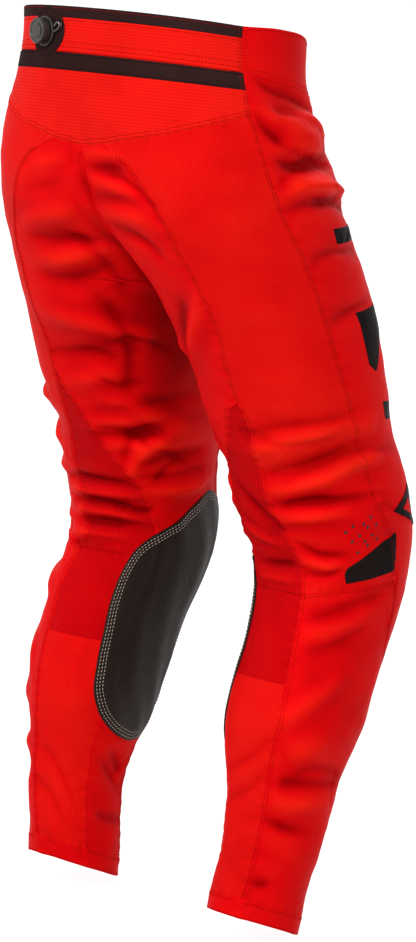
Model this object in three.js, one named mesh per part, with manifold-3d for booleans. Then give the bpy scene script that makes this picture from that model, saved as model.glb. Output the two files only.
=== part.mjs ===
import * as THREE from 'three';
import Module from 'manifold-3d';

const solid = await Module();
solid.setup();

// Race pants for off-road motorcycle riding, hung by the waist. Millimetres, +Z up, front faces -Y.

const legLength = 962;
const waistHalfWidth = 160;
const fabricThickness = 2.6;
const seamGap = 1.6;
const waistbandTop = 14;
const waistbandBottom = 61;
const waistBackDrop = 16.5;
const stripeHeight = 15;
const yokeBackDrop = 146;
const yokeSideDrop = 102;
const zipLength = 96;
const dialRadius = 13.8;
const dialHeight = 9;
const patchHeight = 268;
const cuffHeight = 20;
const kneeDrop = 570;

const kneeTop = kneeDrop - 70;
const kneeBottom = kneeDrop + 70;
const legScale = legLength / 962;
const waistScale = waistHalfWidth / 160;

// Cross-sections of one leg, by drop below the waist. Above the crotch the two legs run into each other.
const sectionDrop = [0, 48, 130, 200, 285, 360, 440, 510, 560, 610, 680, 760, 850, 962];
const centreX = [-1, -1, 23, 59, 97, 114, 126, 137, 140, 137, 139, 141, 144, 135];
const centreLeftY = [-5, -3, -6, -17, -46, -69, -92, -114, -119, -114, -75, -43, -17, 2];
const centreRightY = [-5, -3, -6, -17, -46, -65, -80, -96, -105, -110, -82, -49, -19, 9];
const halfWidth = [160, 160, 157, 129, 100, 93, 86, 83, 79, 73, 69, 64, 50, 48];
const frontReach = [115, 116, 126, 126, 117, 109, 100, 99, 101, 91, 83, 73, 56, 48];
const backReach = [112, 114, 128, 132, 117, 105, 94, 89, 80, 77, 75, 73, 54, 46];
const sectionSlope = [0.22, 0.21, 0.14, 0.08, 0.02, 0, 0.02, 0.06, 0.12, 0.18, 0.24, 0.32, 0.4, 0.48];
const frontDip = [20, 16, 8, 2, 0, 0, 0, 0, 0, 0, 0, 0, 0, 0];
const roundness = 2.25;

// Seams, as [drop, angle] with 0 degrees on the outer side, 90 at the back and 180 on the inner side.
const sideSeamLine = [[0, 22], [100, 22], [164, 17], [236, 10], [369, 8], [437, 4], [505, 2], [541, -6],
  [593, -13], [640, -20]];
const rearSeamLine = [[140, 89], [156, 80], [200, 75], [250, 73], [300, 76], [365, 83], [400, 86], [541, 84],
  [600, 80], [645, 73], [780, 73], [962, 78]];
const backStretchLine = [[395, 91], [441, 101], [500, 120], [549, 136], [585, 146]];
const innerSeam = 150;
const frontInnerSeam = 218;
const radian = Math.PI / 180;

function bend(xs, ys, x) {
  const last = xs.length - 1;
  const clamped = Math.min(Math.max(x, xs[0]), xs[last]);
  let i = 0;
  while (i < last - 1 && clamped > xs[i + 1]) i += 1;
  const slopeAt = (k) => {
    if (k === 0) return (ys[1] - ys[0]) / (xs[1] - xs[0]);
    if (k === last) return (ys[last] - ys[last - 1]) / (xs[last] - xs[last - 1]);
    const a = xs[k] - xs[k - 1];
    const b = xs[k + 1] - xs[k];
    return ((ys[k] - ys[k - 1]) / a * b + (ys[k + 1] - ys[k]) / b * a) / (a + b);
  };
  const h = xs[i + 1] - xs[i];
  const t = (clamped - xs[i]) / h;
  return (2 * t ** 3 - 3 * t ** 2 + 1) * ys[i] + (t ** 3 - 2 * t ** 2 + t) * h * slopeAt(i)
    + (3 * t ** 2 - 2 * t ** 3) * ys[i + 1] + (t ** 3 - t ** 2) * h * slopeAt(i + 1);
}

function follow(line, drop) {
  return bend(line.map((p) => p[0]), line.map((p) => p[1]), drop);
}

const sideSeam = (drop) => follow(sideSeamLine, drop);
const rearSeam = (drop) => follow(rearSeamLine, drop);
const backStretch = (drop) => follow(backStretchLine, drop);

function sectionAt(side, drop) {
  const v = drop;
  return {
    cx: bend(sectionDrop, centreX, v),
    cy: bend(sectionDrop, side > 0 ? centreLeftY : centreRightY, v),
    rx: bend(sectionDrop, halfWidth, v) * waistScale,
    front: bend(sectionDrop, frontReach, v),
    back: bend(sectionDrop, backReach, v),
    slope: bend(sectionDrop, sectionSlope, v),
    dip: bend(sectionDrop, frontDip, v),
  };
}

// Largest angle before the leg meets the middle plane of the pants.
function middleAngle(side, drop) {
  const s = sectionAt(side, drop);
  if (s.cx >= s.rx) return 180;
  const c = Math.max(s.cx / s.rx, 0) ** (roundness / 2);
  return 180 - Math.acos(c) / radian;
}

// Point on the pants: side +1 is the wearer's left, offset is measured outward from the cloth face.
function place(side, drop, angle, offset) {
  const s = sectionAt(side, drop);
  const c = Math.cos(angle * radian);
  const n = Math.sin(angle * radian);
  const power = 2 / roundness;
  const x = s.cx + (s.rx + offset) * Math.sign(c) * Math.abs(c) ** power;
  const reach = n > 0 ? s.back : s.front;
  const dy = (reach + offset) * Math.sign(n) * Math.abs(n) ** power;
  const lift = s.slope * dy - s.dip * Math.max(0, 0.35 - dy / s.front) ** 2;
  return new THREE.Vector3(side * Math.max(x, seamGap / 2), s.cy + dy, -drop * legScale + lift);
}

function outwardNormal(side, drop, angle) {
  const p = place(side, drop, angle, 0);
  const a = place(side, drop, angle + 1, 0).sub(p);
  const b = place(side, drop + 1, angle, 0).sub(p);
  const n = a.cross(b).normalize();
  const out = place(side, drop, angle, 5).sub(p);
  return n.dot(out) < 0 ? n.negate() : n;
}

const group = new THREE.Group();
group.name = 'race_pants';

const finish = {
  redSatin: { color: 0xd80d1c, roughness: 0.62, metalness: 0 },
  redRib: { color: 0xe81c22, roughness: 0.78, metalness: 0 },
  redStretch: { color: 0xc4101c, roughness: 0.85, metalness: 0 },
  blackElastic: { color: 0x2c2424, roughness: 0.85, metalness: 0 },
  blackPrint: { color: 0x221d1b, roughness: 0.55, metalness: 0 },
  leather: { color: 0x2b2524, roughness: 0.55, metalness: 0 },
  blackPlastic: { color: 0x232529, roughness: 0.42, metalness: 0 },
  steel: { color: 0xa9adb2, roughness: 0.32, metalness: 1 },
  silicone: { color: 0x3a3a3c, roughness: 0.7, metalness: 0 },
};

function addMesh(name, positions, faces, look) {
  let volume = 0;
  for (let i = 0; i < faces.length; i += 3) {
    const [a, b, c] = [faces[i], faces[i + 1], faces[i + 2]].map((k) => positions[k]);
    volume += a.dot(b.clone().cross(c));
  }
  const geometry = new THREE.BufferGeometry();
  const flat = positions.flatMap((p) => [p.x, p.y, p.z]);
  geometry.setAttribute('position', new THREE.Float32BufferAttribute(flat, 3));
  const order = [];
  for (let i = 0; i < faces.length; i += 3) {
    if (volume > 0) order.push(faces[i], faces[i + 1], faces[i + 2]);
    else order.push(faces[i], faces[i + 2], faces[i + 1]);
  }
  geometry.setIndex(order);
  geometry.computeVertexNormals();
  const mesh = new THREE.Mesh(geometry, new THREE.MeshStandardMaterial(look));
  mesh.name = name;
  group.add(mesh);
  return mesh;
}

// Closed sheet with two faces. shape(s, t, face) gives a point; face 0 is inside, 1 is outside.
function addSheet(name, rows, columns, loop, look, shape) {
  const positions = [];
  const across = loop ? columns : columns + 1;
  for (let face = 0; face < 2; face += 1) {
    for (let i = 0; i <= rows; i += 1) {
      for (let j = 0; j < across; j += 1) positions.push(shape(i / rows, j / columns, face));
    }
  }
  const layer = (rows + 1) * across;
  const at = (face, i, j) => face * layer + i * across + (j % across);
  const faces = [];
  const quad = (a, b, c, d) => faces.push(a, b, c, a, c, d);
  for (let i = 0; i < rows; i += 1) {
    for (let j = 0; j < columns; j += 1) {
      quad(at(1, i, j), at(1, i, j + 1), at(1, i + 1, j + 1), at(1, i + 1, j));
      quad(at(0, i, j), at(0, i + 1, j), at(0, i + 1, j + 1), at(0, i, j + 1));
    }
  }
  for (let j = 0; j < columns; j += 1) {
    quad(at(0, 0, j), at(0, 0, j + 1), at(1, 0, j + 1), at(1, 0, j));
    quad(at(0, rows, j), at(1, rows, j), at(1, rows, j + 1), at(0, rows, j + 1));
  }
  for (let i = 0; i < rows && !loop; i += 1) {
    quad(at(0, i, 0), at(1, i, 0), at(1, i + 1, 0), at(0, i + 1, 0));
    quad(at(0, i, columns), at(0, i + 1, columns), at(1, i + 1, columns), at(1, i, columns));
  }
  return addMesh(name, positions, faces, look);
}

const word = (side) => (side > 0 ? 'left' : 'right');
const mix = (a, b, t) => a + (b - a) * t;
const edgeAngle = seamGap / 2 / 85 / radian;
const level = (drop) => () => drop;

// Slides along the border curve until the drop and the angle agree.
function settle(curve, angleAt) {
  let drop = 200;
  for (let k = 0; k < 14; k += 1) drop = curve(angleAt(drop));
  return drop;
}

// Panel between two seams. top and bottom give a drop for an angle, from and to give an angle for a drop.
function addPanel(name, side, edges, rows, columns, look, inner = -fabricThickness, outer = 0) {
  const angleAt = (t) => (drop) => {
    const m = middleAngle(side, drop);
    const from = edges.from(drop) + edgeAngle;
    const to = edges.to(drop) - edgeAngle;
    if (!edges.crotch) return mix(from, to, t);
    return mix(Math.max(from, -m, -179), Math.min(to, m, 179), t);
  };
  return addSheet(name, rows, columns, false, look, (s, t, face) => {
    const drop = mix(settle(edges.top, angleAt(t)), settle(edges.bottom, angleAt(t)), s);
    return place(side, drop, angleAt(t)(drop), face ? outer : inner);
  });
}

// Band right across the back, from one side seam to the other.
function addBackBand(name, top, bottom, rows, columns, look, inner, outer) {
  return addSheet(name, rows, columns, false, look, (s, t, face) => {
    const side = t < 0.5 ? -1 : 1;
    const w = Math.abs(2 * t - 1);
    const angleAt = (drop) => mix(middleAngle(side, drop), sideSeam(drop) + edgeAngle, w);
    const drop = mix(settle(top, angleAt), settle(bottom, angleAt), s);
    const p = place(side, drop, angleAt(drop), face ? outer : inner);
    if (w === 0) p.x = 0;
    return p;
  });
}

// Drop at which a slanted plane through the hip crosses the leg: |x| - z = reach.
function hipCut(side, angle, reach) {
  let low = 40;
  let high = 480;
  for (let k = 0; k < 24; k += 1) {
    const drop = (low + high) / 2;
    const m = middleAngle(side, drop);
    const p = place(side, drop, Math.min(Math.max(angle, -m), m), 0);
    if (Math.abs(p.x) - p.z < reach * legScale) low = drop;
    else high = drop;
  }
  return (low + high) / 2;
}

const hipUpper = 300;
const hipLower = 462;
const half = seamGap / 2;
const yokeDrop = (angle) => mix(yokeBackDrop, yokeSideDrop, Math.min(Math.max((98 - angle) / 76, 0), 1) ** 1.3);

// Waist, whose top edge is lower round the back than at the front
function topEdge(angle) {
  const t = Math.min(Math.max((angle + 34) / 60, 0), 1);
  return waistBackDrop * t * t * (3 - 2 * t);
}
const belowTop = (height) => (angle) => topEdge(angle) + height;
const stripeTop = waistbandBottom + seamGap;
const yokeTop = stripeTop + stripeHeight + seamGap;
addBackBand('elastic_top', topEdge, belowTop(waistbandTop - seamGap), 1, 26, finish.blackElastic,
  -fabricThickness, 0.4);
addBackBand('waistband_rear', belowTop(waistbandTop), level(waistbandBottom), 3, 26, finish.redRib,
  -fabricThickness, 0);
addBackBand('yoke_stripe', level(stripeTop), level(stripeTop + stripeHeight), 1, 26, finish.blackElastic,
  -fabricThickness, 0.4);
addBackBand('yoke', level(yokeTop), (angle) => yokeDrop(angle) - half, 2, 26, finish.redRib,
  -fabricThickness, 0);
addBackBand('waist_gripper', belowTop(waistbandTop + 4), level(waistbandBottom - 6), 3, 26, finish.silicone,
  -fabricThickness - 2.6, -fabricThickness - 1.1);

// Front edge beside the zip, where the opening is 14 mm wide.
function frontEdge(side, drop) {
  let low = -125;
  let high = -60;
  for (let k = 0; k < 24; k += 1) {
    const angle = (low + high) / 2;
    if (Math.abs(place(side, drop, angle, 0).x) > 7) high = angle;
    else low = angle;
  }
  return (low + high) / 2;
}

const zipTop = waistbandBottom + 4;
const zipEnd = zipTop + zipLength;
const hipFront = (side) => (drop) => (drop < zipEnd + 21 ? frontEdge(side, drop) : -181);
const wholeTurn = 360;

for (const side of [1, -1]) {
  const tag = word(side);
  const upperCut = (angle) => hipCut(side, angle, hipUpper) - half;
  addPanel(`waistband_front_${tag}`, side, {
    top: topEdge, bottom: level(waistbandBottom), from: hipFront(side), to: sideSeam, crotch: true,
  }, 2, 12, finish.redSatin);
  addPanel(`seat_${tag}`, side, {
    top: (angle) => yokeDrop(angle) + half, bottom: upperCut, from: rearSeam, to: level(181),
    crotch: true,
  }, 8, 5, finish.redStretch);
  addPanel(`hip_rear_${tag}`, side, {
    top: (angle) => yokeDrop(angle) + half, bottom: upperCut, from: sideSeam, to: rearSeam,
  }, 4, 7, finish.redRib);
  addPanel(`hip_front_${tag}`, side, {
    top: level(stripeTop), bottom: upperCut, from: hipFront(side), to: sideSeam, crotch: true,
  }, 12, 8, finish.redSatin);

  addSheet(`hip_flex_${tag}`, 3, 30, true, finish.redStretch, (s, t, face) => {
    const angle = t * wholeTurn - 180;
    const drop = mix(hipCut(side, angle, hipUpper) + seamGap, hipCut(side, angle, hipLower) - half, s);
    return place(side, drop, angle, face ? 0 : -fabricThickness);
  });

  const lowerCut = (angle) => hipCut(side, angle > 180 ? angle - wholeTurn : angle, hipLower) + half;
  const thighEnd = level(kneeTop - half);
  addPanel(`thigh_front_${tag}`, side, {
    top: lowerCut, bottom: thighEnd, from: level(frontInnerSeam - wholeTurn), to: sideSeam,
  }, 5, 10, finish.redSatin);
  addPanel(`thigh_rear_${tag}`, side, {
    top: lowerCut, bottom: thighEnd, from: sideSeam, to: rearSeam,
  }, 5, 6, finish.redRib);
  addPanel(`thigh_inner_${tag}`, side, {
    top: lowerCut, bottom: thighEnd, from: rearSeam, to: level(frontInnerSeam),
  }, 4, 8, finish.redStretch);

  const kneeStart = level(kneeTop + half);
  const kneeEnd = level(kneeBottom - half);
  addPanel(`knee_cup_${tag}`, side, {
    top: kneeStart, bottom: kneeEnd, from: level(frontInnerSeam - wholeTurn), to: sideSeam,
  }, 6, 12, finish.redSatin);
  addPanel(`knee_outer_${tag}`, side, {
    top: kneeStart, bottom: kneeEnd, from: sideSeam, to: rearSeam,
  }, 5, 6, finish.redSatin);
  addPanel(`knee_back_${tag}`, side, {
    top: kneeStart, bottom: kneeEnd, from: rearSeam, to: level(frontInnerSeam),
  }, 6, 10, finish.redStretch);

  const shinTop = level(kneeBottom + half);
  const shinEnd = level(962 - cuffHeight - half);
  const ribEnd = 716;
  addPanel(`calf_rib_${tag}`, side, {
    top: shinTop, bottom: level(ribEnd - half), from: rearSeam, to: level(innerSeam),
  }, 2, 6, finish.redStretch);
  addPanel(`calf_${tag}`, side, {
    top: level(ribEnd + half), bottom: shinEnd, from: rearSeam, to: level(innerSeam),
  }, 6, 6, finish.redRib);
  addPanel(`shin_outer_${tag}`, side, {
    top: shinTop, bottom: shinEnd, from: level(frontInnerSeam - wholeTurn), to: rearSeam,
  }, 8, 14, finish.redSatin);
  addPanel(`shin_inner_${tag}`, side, {
    top: shinTop, bottom: shinEnd, from: level(innerSeam), to: level(frontInnerSeam),
  }, 8, 5, finish.redSatin);
  addSheet(`cuff_${tag}`, 1, 28, true, finish.redSatin, (s, t, face) => {
    const drop = mix(962 - cuffHeight + half, 962, s);
    return place(side, drop, t * wholeTurn, face ? 0 : -fabricThickness);
  });

  // Leather guard on the inner side of the knee and shin, with rounded ends.
  const patchTop = 545;
  addSheet(`leather_patch_${tag}`, 16, 10, false, finish.leather, (step, t, face) => {
    const s = (1 - Math.cos(Math.PI * step)) / 2;
    const lean = 1 - 2 * s;
    const round = Math.sqrt(Math.max(0, 1 - Math.abs(lean) ** 5));
    const centre = mix(197, 187, s);
    const spread = mix(6, mix(48, 50, s), round);
    const drop = patchTop + patchHeight * s;
    return place(side, drop, centre + spread * (2 * t - 1), face ? 3 : 1.4);
  });
  addSheet(`knee_wedge_${tag}`, 4, 5, false, finish.blackPrint, (s, t, face) => {
    const drop = mix(mix(542, 568, t), mix(586, 600, t), s);
    return place(side, drop, mix(-9, 35, t), face ? 2 : 1.2);
  });
}

// Frames for the small hardware: x to the right as seen from outside, y up, z outward.
function frameAt(side, drop, angle, lift = 0) {
  const n = outwardNormal(side, drop, angle);
  const up = new THREE.Vector3(0, 0, 1).addScaledVector(n, -n.z).normalize();
  const right = up.clone().cross(n);
  const origin = place(side, drop, angle, 0).addScaledVector(n, lift);
  return new THREE.Matrix4().makeBasis(right, up, n).setPosition(origin);
}

function addSolid(name, geometry, frame, look) {
  geometry.applyMatrix4(frame);
  const mesh = new THREE.Mesh(geometry, new THREE.MeshStandardMaterial(look));
  mesh.name = name;
  group.add(mesh);
}

function turned(profile, segments) {
  const points = profile.map((p) => new THREE.Vector2(p[0], p[1]));
  return new THREE.LatheGeometry(points, segments).rotateX(Math.PI / 2);
}

function block(x0, x1, y0, y1, z0, z1) {
  return new THREE.BoxGeometry(x1 - x0, y1 - y0, z1 - z0)
    .translate((x0 + x1) / 2, (y0 + y1) / 2, (z0 + z1) / 2);
}

function toSolid(geometry) {
  const places = geometry.getAttribute('position');
  const mesh = new solid.Mesh({
    numProp: 3,
    vertProperties: new Float32Array(places.array),
    triVerts: new Uint32Array(geometry.index.array),
  });
  mesh.merge();
  return new solid.Manifold(mesh);
}

function toGeometry(manifold) {
  const mesh = manifold.getMesh();
  const geometry = new THREE.BufferGeometry();
  geometry.setAttribute('position', new THREE.BufferAttribute(new Float32Array(mesh.vertProperties), 3));
  geometry.setIndex(Array.from(mesh.triVerts));
  geometry.computeVertexNormals();
  return geometry;
}

const join = (list) => toGeometry(list.map(toSolid).reduce((a, b) => a.add(b)));
const cut = (base, list) => toGeometry(list.map(toSolid).reduce((a, b) => a.subtract(b), toSolid(base)));

// Lacing dial on the back of the waistband
const dialDrop = (waistbandTop + waistbandBottom + 10) / 2;
const dialAngle = 70;
const dialFrame = frameAt(1, dialDrop, dialAngle);
const dialStep = place(1, dialDrop, dialAngle + 5, 0).distanceTo(place(1, dialDrop, dialAngle - 5, 0)) / 10;
addSheet('dial_backing', 3, 28, true, finish.blackElastic, (s, t, face) => {
  const turn = t * 2 * Math.PI;
  const r = mix(dialRadius + 11.7, 5, s);
  const across = 1.07 * r * Math.cos(turn);
  const drop = dialDrop + r * Math.sin(turn);
  return place(1, drop, dialAngle + across / dialStep, face ? 1.7 : 0.7);
});
const baseRadius = dialRadius + 1.2;
addSolid('dial_base', turned([
  [4.2, 2.4], [baseRadius, 2.4], [baseRadius, 5.4], [baseRadius - 1.8, 5.4], [baseRadius - 1.8, 3.6],
  [4.2, 3.6], [4.2, 2.4],
], 36), dialFrame, finish.blackPlastic);
addSolid('dial_spool', turned([
  [2.5, 3.9], [8.6, 3.9], [8.6, 4.4], [7, 4.9], [8.6, 5.4], [8.6, 5.9], [2.5, 5.9], [2.5, 3.9],
], 28), dialFrame, finish.blackPlastic);
const knobBase = 5.8;
const knobTop = knobBase + dialHeight;
addSolid('dial_core', new THREE.CylinderGeometry(2.1, 2.1, knobTop - 6.6, 20).rotateX(Math.PI / 2)
  .translate(0, 0, 2.8 + (knobTop - 6.6) / 2), dialFrame, finish.steel);
addSolid('dial_knob', turned([
  [0.4, knobTop - 3.2], [dialRadius - 2.2, knobTop - 3.2], [dialRadius - 2.2, knobBase],
  [dialRadius, knobBase], [dialRadius - 0.6, knobTop - 1.2], [dialRadius - 1.8, knobTop],
  [dialRadius - 3.4, knobTop], [dialRadius - 3.9, knobTop - 1.3],
  [0.4, knobTop - 1.3], [0.4, knobTop - 3.2],
], 36), dialFrame, finish.blackPlastic);
addSolid('dial_cap', new THREE.CylinderGeometry(dialRadius - 4.6, dialRadius - 4.4, 1.1, 6).rotateX(Math.PI / 2)
  .translate(0, 0, knobTop - 0.45), dialFrame, finish.silicone);

const laceStart = baseRadius + 0.8;
const laceCurve = new THREE.CatmullRomCurve3([
  new THREE.Vector3(laceStart, 6.4, 4), new THREE.Vector3(laceStart + 2.2, 9.4, 3.4),
  new THREE.Vector3(laceStart + 4.8, 10.6, 2.6), new THREE.Vector3(laceStart + 6.6, 8.4, 2.3),
  new THREE.Vector3(laceStart + 5.2, 4, 2.8), new THREE.Vector3(laceStart, 0.8, 4),
]);
const laceRound = new THREE.Shape().absarc(0, 0, 0.7, 0, 2 * Math.PI);
addSolid('dial_lace', new THREE.ExtrudeGeometry(laceRound, {
  steps: 18, curveSegments: 4, extrudePath: laceCurve, bevelEnabled: false,
}), dialFrame, finish.steel);
addSolid('lace_guide', block(-1.6, 1.6, -2.4, 2.4, 0, 1.2).translate(laceStart + 9, 8, 1.4), dialFrame,
  finish.blackPlastic);

// Zip at the front, straight, in a 14 mm opening
const zipStart = place(1, zipTop, -100, 0);
const zipFoot = place(1, zipEnd, -100, 0);
for (const p of [zipStart, zipFoot]) p.x = 0;
const zipDown = zipFoot.clone().sub(zipStart).normalize();
const zipOut = new THREE.Vector3(1, 0, 0).cross(zipDown).normalize();
if (zipOut.y > 0) zipOut.negate();
const zipUp = zipDown.clone().negate();
const zipFrame = new THREE.Matrix4().makeBasis(new THREE.Vector3(1, 0, 0), zipUp, zipOut)
  .setPosition(zipStart.clone().addScaledVector(zipOut, -1.4));
const toothPitch = 5;
const toothCount = Math.floor((zipLength - 8) / toothPitch);
for (const side of [1, -1]) {
  const comb = new THREE.Shape();
  comb.moveTo(side * 5.6, 0);
  comb.lineTo(side * 2.4, 0);
  for (let k = 0; k < toothCount; k += 1) {
    const y = -toothPitch * (k + 0.25);
    comb.lineTo(side * 2.4, y);
    comb.lineTo(side * 0.9, y - 0.4);
    comb.lineTo(side * 0.9, y - 2.1);
    comb.lineTo(side * 2.4, y - 2.5);
  }
  const foot = -toothPitch * toothCount - 2;
  comb.lineTo(side * 2.4, foot);
  comb.lineTo(side * 5.6, foot);
  comb.closePath();
  addSolid(`zip_teeth_${word(side)}`, new THREE.ExtrudeGeometry(comb, { depth: 2, bevelEnabled: false })
    .translate(0, 0, -1), zipFrame, finish.blackPlastic);
}
addSolid('zip_stop', block(-4.6, 4.6, -2.4, 2.4, -1.2, 1.2)
  .translate(0, -toothPitch * toothCount - 5.6, 0), zipFrame, finish.steel);
const sliderY = -9;
const slider = join([
  block(-4.4, 4.4, -6, 6, 1.5, 2.7),
  block(-4.4, 4.4, -6, 6, -2.7, -1.5),
  block(-0.5, 0.5, -6, 6, -2, 2),
  block(-0.9, 0.9, -3.4, -2.2, 2.2, 6),
  block(-0.9, 0.9, 2.2, 3.4, 2.2, 6),
  block(-0.9, 0.9, -3.4, 3.4, 5.3, 6.5),
]);
addSolid('zip_slider', slider.translate(0, sliderY, 0), zipFrame, finish.steel);
const pull = cut(block(-3, 3, -21, 0.9, 3.4, 4.6), [
  block(-1.7, 1.7, -4.6, -0.7, 2, 6), block(-1.6, 1.6, -18.6, -12, 2, 6),
]);
addSolid('zip_pull', pull.translate(0, sliderY, 0), zipFrame, finish.steel);
addSheet('fly_guard', 4, 6, false, finish.redSatin, (s, t, face) => {
  const p = place(1, mix(zipTop - 2, zipEnd + 4, s), -100, face ? -6.2 : -8);
  return new THREE.Vector3(mix(-24, 24, t), p.y, p.z);
});

// Waist closure: a strap hinged at the left, held by a snap
const tabDrop = 32;
const tabRadius = 150 * waistScale;
addSheet('closure_tab', 2, 8, false, finish.blackElastic, (s, t, face) => {
  const x = mix(-32, 34, t);
  const squeeze = mix(11, 18, Math.min(1, (x + 32) / 10) ** 0.5);
  const side = x < 0 ? -1 : 1;
  const p = place(side, tabDrop + squeeze * (2 * s - 1), -90 + Math.abs(x) / tabRadius / radian, face ? 6 : 3.6);
  return new THREE.Vector3(x, p.y, p.z);
});
const snapFrame = frameAt(-1, tabDrop, -90 + 21 / tabRadius / radian);
addSolid('snap_cap', turned([
  [0.001, 6.6], [6.5, 6.6], [6.5, 7.2], [5, 8.3], [0.001, 8.8], [0.001, 6.6],
], 20), snapFrame, finish.steel);
addSolid('snap_post', turned([
  [0.001, 0.5], [6, 0.5], [6, 1.2], [3, 1.5], [3, 2.9], [0.001, 2.9], [0.001, 0.5],
], 20), snapFrame, finish.steel);

export default group;
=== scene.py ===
import math
import bpy
import bmesh
import numpy as np
from mathutils import Matrix, Vector


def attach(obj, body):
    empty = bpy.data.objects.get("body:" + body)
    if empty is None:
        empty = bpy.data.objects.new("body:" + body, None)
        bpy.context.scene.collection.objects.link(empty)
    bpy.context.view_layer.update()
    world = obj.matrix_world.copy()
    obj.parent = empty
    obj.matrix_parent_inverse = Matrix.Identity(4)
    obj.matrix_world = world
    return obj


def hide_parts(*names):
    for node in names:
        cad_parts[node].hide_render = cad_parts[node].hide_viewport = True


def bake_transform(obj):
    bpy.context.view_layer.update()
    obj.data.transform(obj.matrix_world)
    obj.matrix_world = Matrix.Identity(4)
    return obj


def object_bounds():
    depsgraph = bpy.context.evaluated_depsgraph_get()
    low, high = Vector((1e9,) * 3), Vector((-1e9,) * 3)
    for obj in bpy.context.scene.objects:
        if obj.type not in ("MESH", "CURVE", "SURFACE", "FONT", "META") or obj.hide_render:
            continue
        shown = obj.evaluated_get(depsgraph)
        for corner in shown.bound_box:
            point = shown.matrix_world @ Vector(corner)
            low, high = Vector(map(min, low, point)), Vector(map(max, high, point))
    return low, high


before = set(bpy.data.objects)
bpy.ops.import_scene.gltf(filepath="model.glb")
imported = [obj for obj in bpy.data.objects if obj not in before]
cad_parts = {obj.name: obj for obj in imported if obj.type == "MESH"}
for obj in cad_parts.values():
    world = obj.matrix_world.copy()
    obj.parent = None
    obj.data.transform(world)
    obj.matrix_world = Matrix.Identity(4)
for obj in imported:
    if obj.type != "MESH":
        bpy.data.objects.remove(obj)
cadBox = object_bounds()
bpy.ops.object.select_all(action="DESELECT")
print("frame loaded")

# Shape of the pants in millimetres: sections of one leg by drop below the waist
sectionDrop = [0, 48, 130, 200, 285, 360, 440, 510, 560, 610, 680, 760, 850, 962]
centreX = [-1, -1, 23, 59, 97, 114, 126, 137, 140, 137, 139, 141, 144, 135]
centreY = {
    1: [-5, -3, -6, -17, -46, -69, -92, -114, -119, -114, -75, -43, -17, 2],
    -1: [-5, -3, -6, -17, -46, -65, -80, -96, -105, -110, -82, -49, -19, 9],
}
halfWidth = [160, 160, 157, 129, 100, 93, 86, 83, 79, 73, 69, 64, 50, 48]
frontReach = [115, 116, 126, 126, 117, 109, 100, 99, 101, 91, 83, 73, 56, 48]
backReach = [112, 114, 128, 132, 117, 105, 94, 89, 80, 77, 75, 73, 54, 46]
sectionSlope = [0.22, 0.21, 0.14, 0.08, 0.02, 0, 0.02, 0.06, 0.12, 0.18, 0.24, 0.32, 0.4, 0.48]
frontDip = [20, 16, 8, 2, 0, 0, 0, 0, 0, 0, 0, 0, 0, 0]
roundness = 2.25

waistband = {"backDrop": 16.5, "elastic": 11.4, "bottom": 61, "stripeTop": 62.6, "stripeBottom": 77.6}
fabric = {"thickness": 1.3, "grid": 2.7, "split": 470, "overlap": 0.12, "fellWidth": 6.5, "fellHeight": 0.5}
hem = {"drop": 962, "height": 20}

# Seams: drop against angle. 0 degrees is the outer side, 90 the back, 180 the inner side, -90 the front.
sideSeam = ([0, 100, 164, 236, 369, 437, 505, 541, 593, 640], [22, 22, 17, 10, 8, 4, 2, -6, -13, -20])
rearSeams = {
    1: ([140, 156, 176, 204, 257, 309, 365, 425, 485, 541, 562, 580, 601, 621, 645, 689, 722, 782, 862, 938,
         962],
        [89, 79, 74, 71, 67, 72, 80, 82, 84, 81, 86, 82, 88, 80, 76, 77, 76, 82, 78, 82, 88]),
    -1: ([140, 164, 188, 212, 245, 293, 325, 353, 389, 405, 469, 521, 553, 581, 613, 645, 697, 750, 818,
          910, 962],
         [90, 83, 79, 77, 79, 80, 82, 86, 87, 84, 87, 89, 84, 75, 72, 70, 66, 62, 67, 70, 73]),
}
stretchSeams = {
    1: ([395, 420, 448, 477, 521, 549, 585, 620, 962], [81.5, 86, 95, 104, 124, 136, 146, 150, 150]),
    -1: ([395, 401, 441, 470, 489, 521, 549, 585, 620, 962],
         [86, 91, 102, 116, 126, 134, 140, 147, 150, 150]),
}
inseam = ([285, 300, 400, 962], [180, 181, 218, 218])
yokeEdge = ([22, 43, 64, 82, 90, 98], [102, 116, 129, 138, 143, 146])
kneeTop = ([-142, -110, -80, -40, -12, 2], [522, 546, 552, 541, 521, 505])
shinTop = ([-142, -110, -80, -50, -30, -22, -14, -12, 36, 71, 90],
           [655, 682, 692, 684, 664, 642, 602, 597, 605, 617, 622])
ribEnd = 712
crotchDrop = 285

patchBack = ([545, 553, 565, 577, 593, 609, 633, 665, 701, 738, 778, 798, 810, 815],
             [196, 187, 177, 167, 147, 133, 126, 127, 131, 134, 142, 156, 175, 190])
patchFront = ([545, 553, 565, 593, 633, 700, 760, 790, 808, 815],
              [198, 214, 224, 235, 240, 240, 236, 226, 210, 192])


def bend(xs, ys, x):
    xs = np.asarray(xs, float)
    ys = np.asarray(ys, float)
    h = np.diff(xs)
    d = np.diff(ys) / h
    m = np.empty(len(xs))
    m[1:-1] = (d[:-1] * h[1:] + d[1:] * h[:-1]) / (h[:-1] + h[1:])
    m[0] = d[0]
    m[-1] = d[-1]
    x = np.clip(x, xs[0], xs[-1])
    i = np.clip(np.searchsorted(xs, x) - 1, 0, len(xs) - 2)
    t = (x - xs[i]) / h[i]
    return ((2 * t**3 - 3 * t**2 + 1) * ys[i] + (t**3 - 2 * t**2 + t) * h[i] * m[i]
            + (3 * t**2 - 2 * t**3) * ys[i + 1] + (t**3 - t**2) * h[i] * m[i + 1])


def follow(line, x):
    return np.interp(x, line[0], line[1])


def smoothRise(x, low, high):
    t = np.clip((x - low) / (high - low), 0, 1)
    return t * t * (3 - 2 * t)


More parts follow.
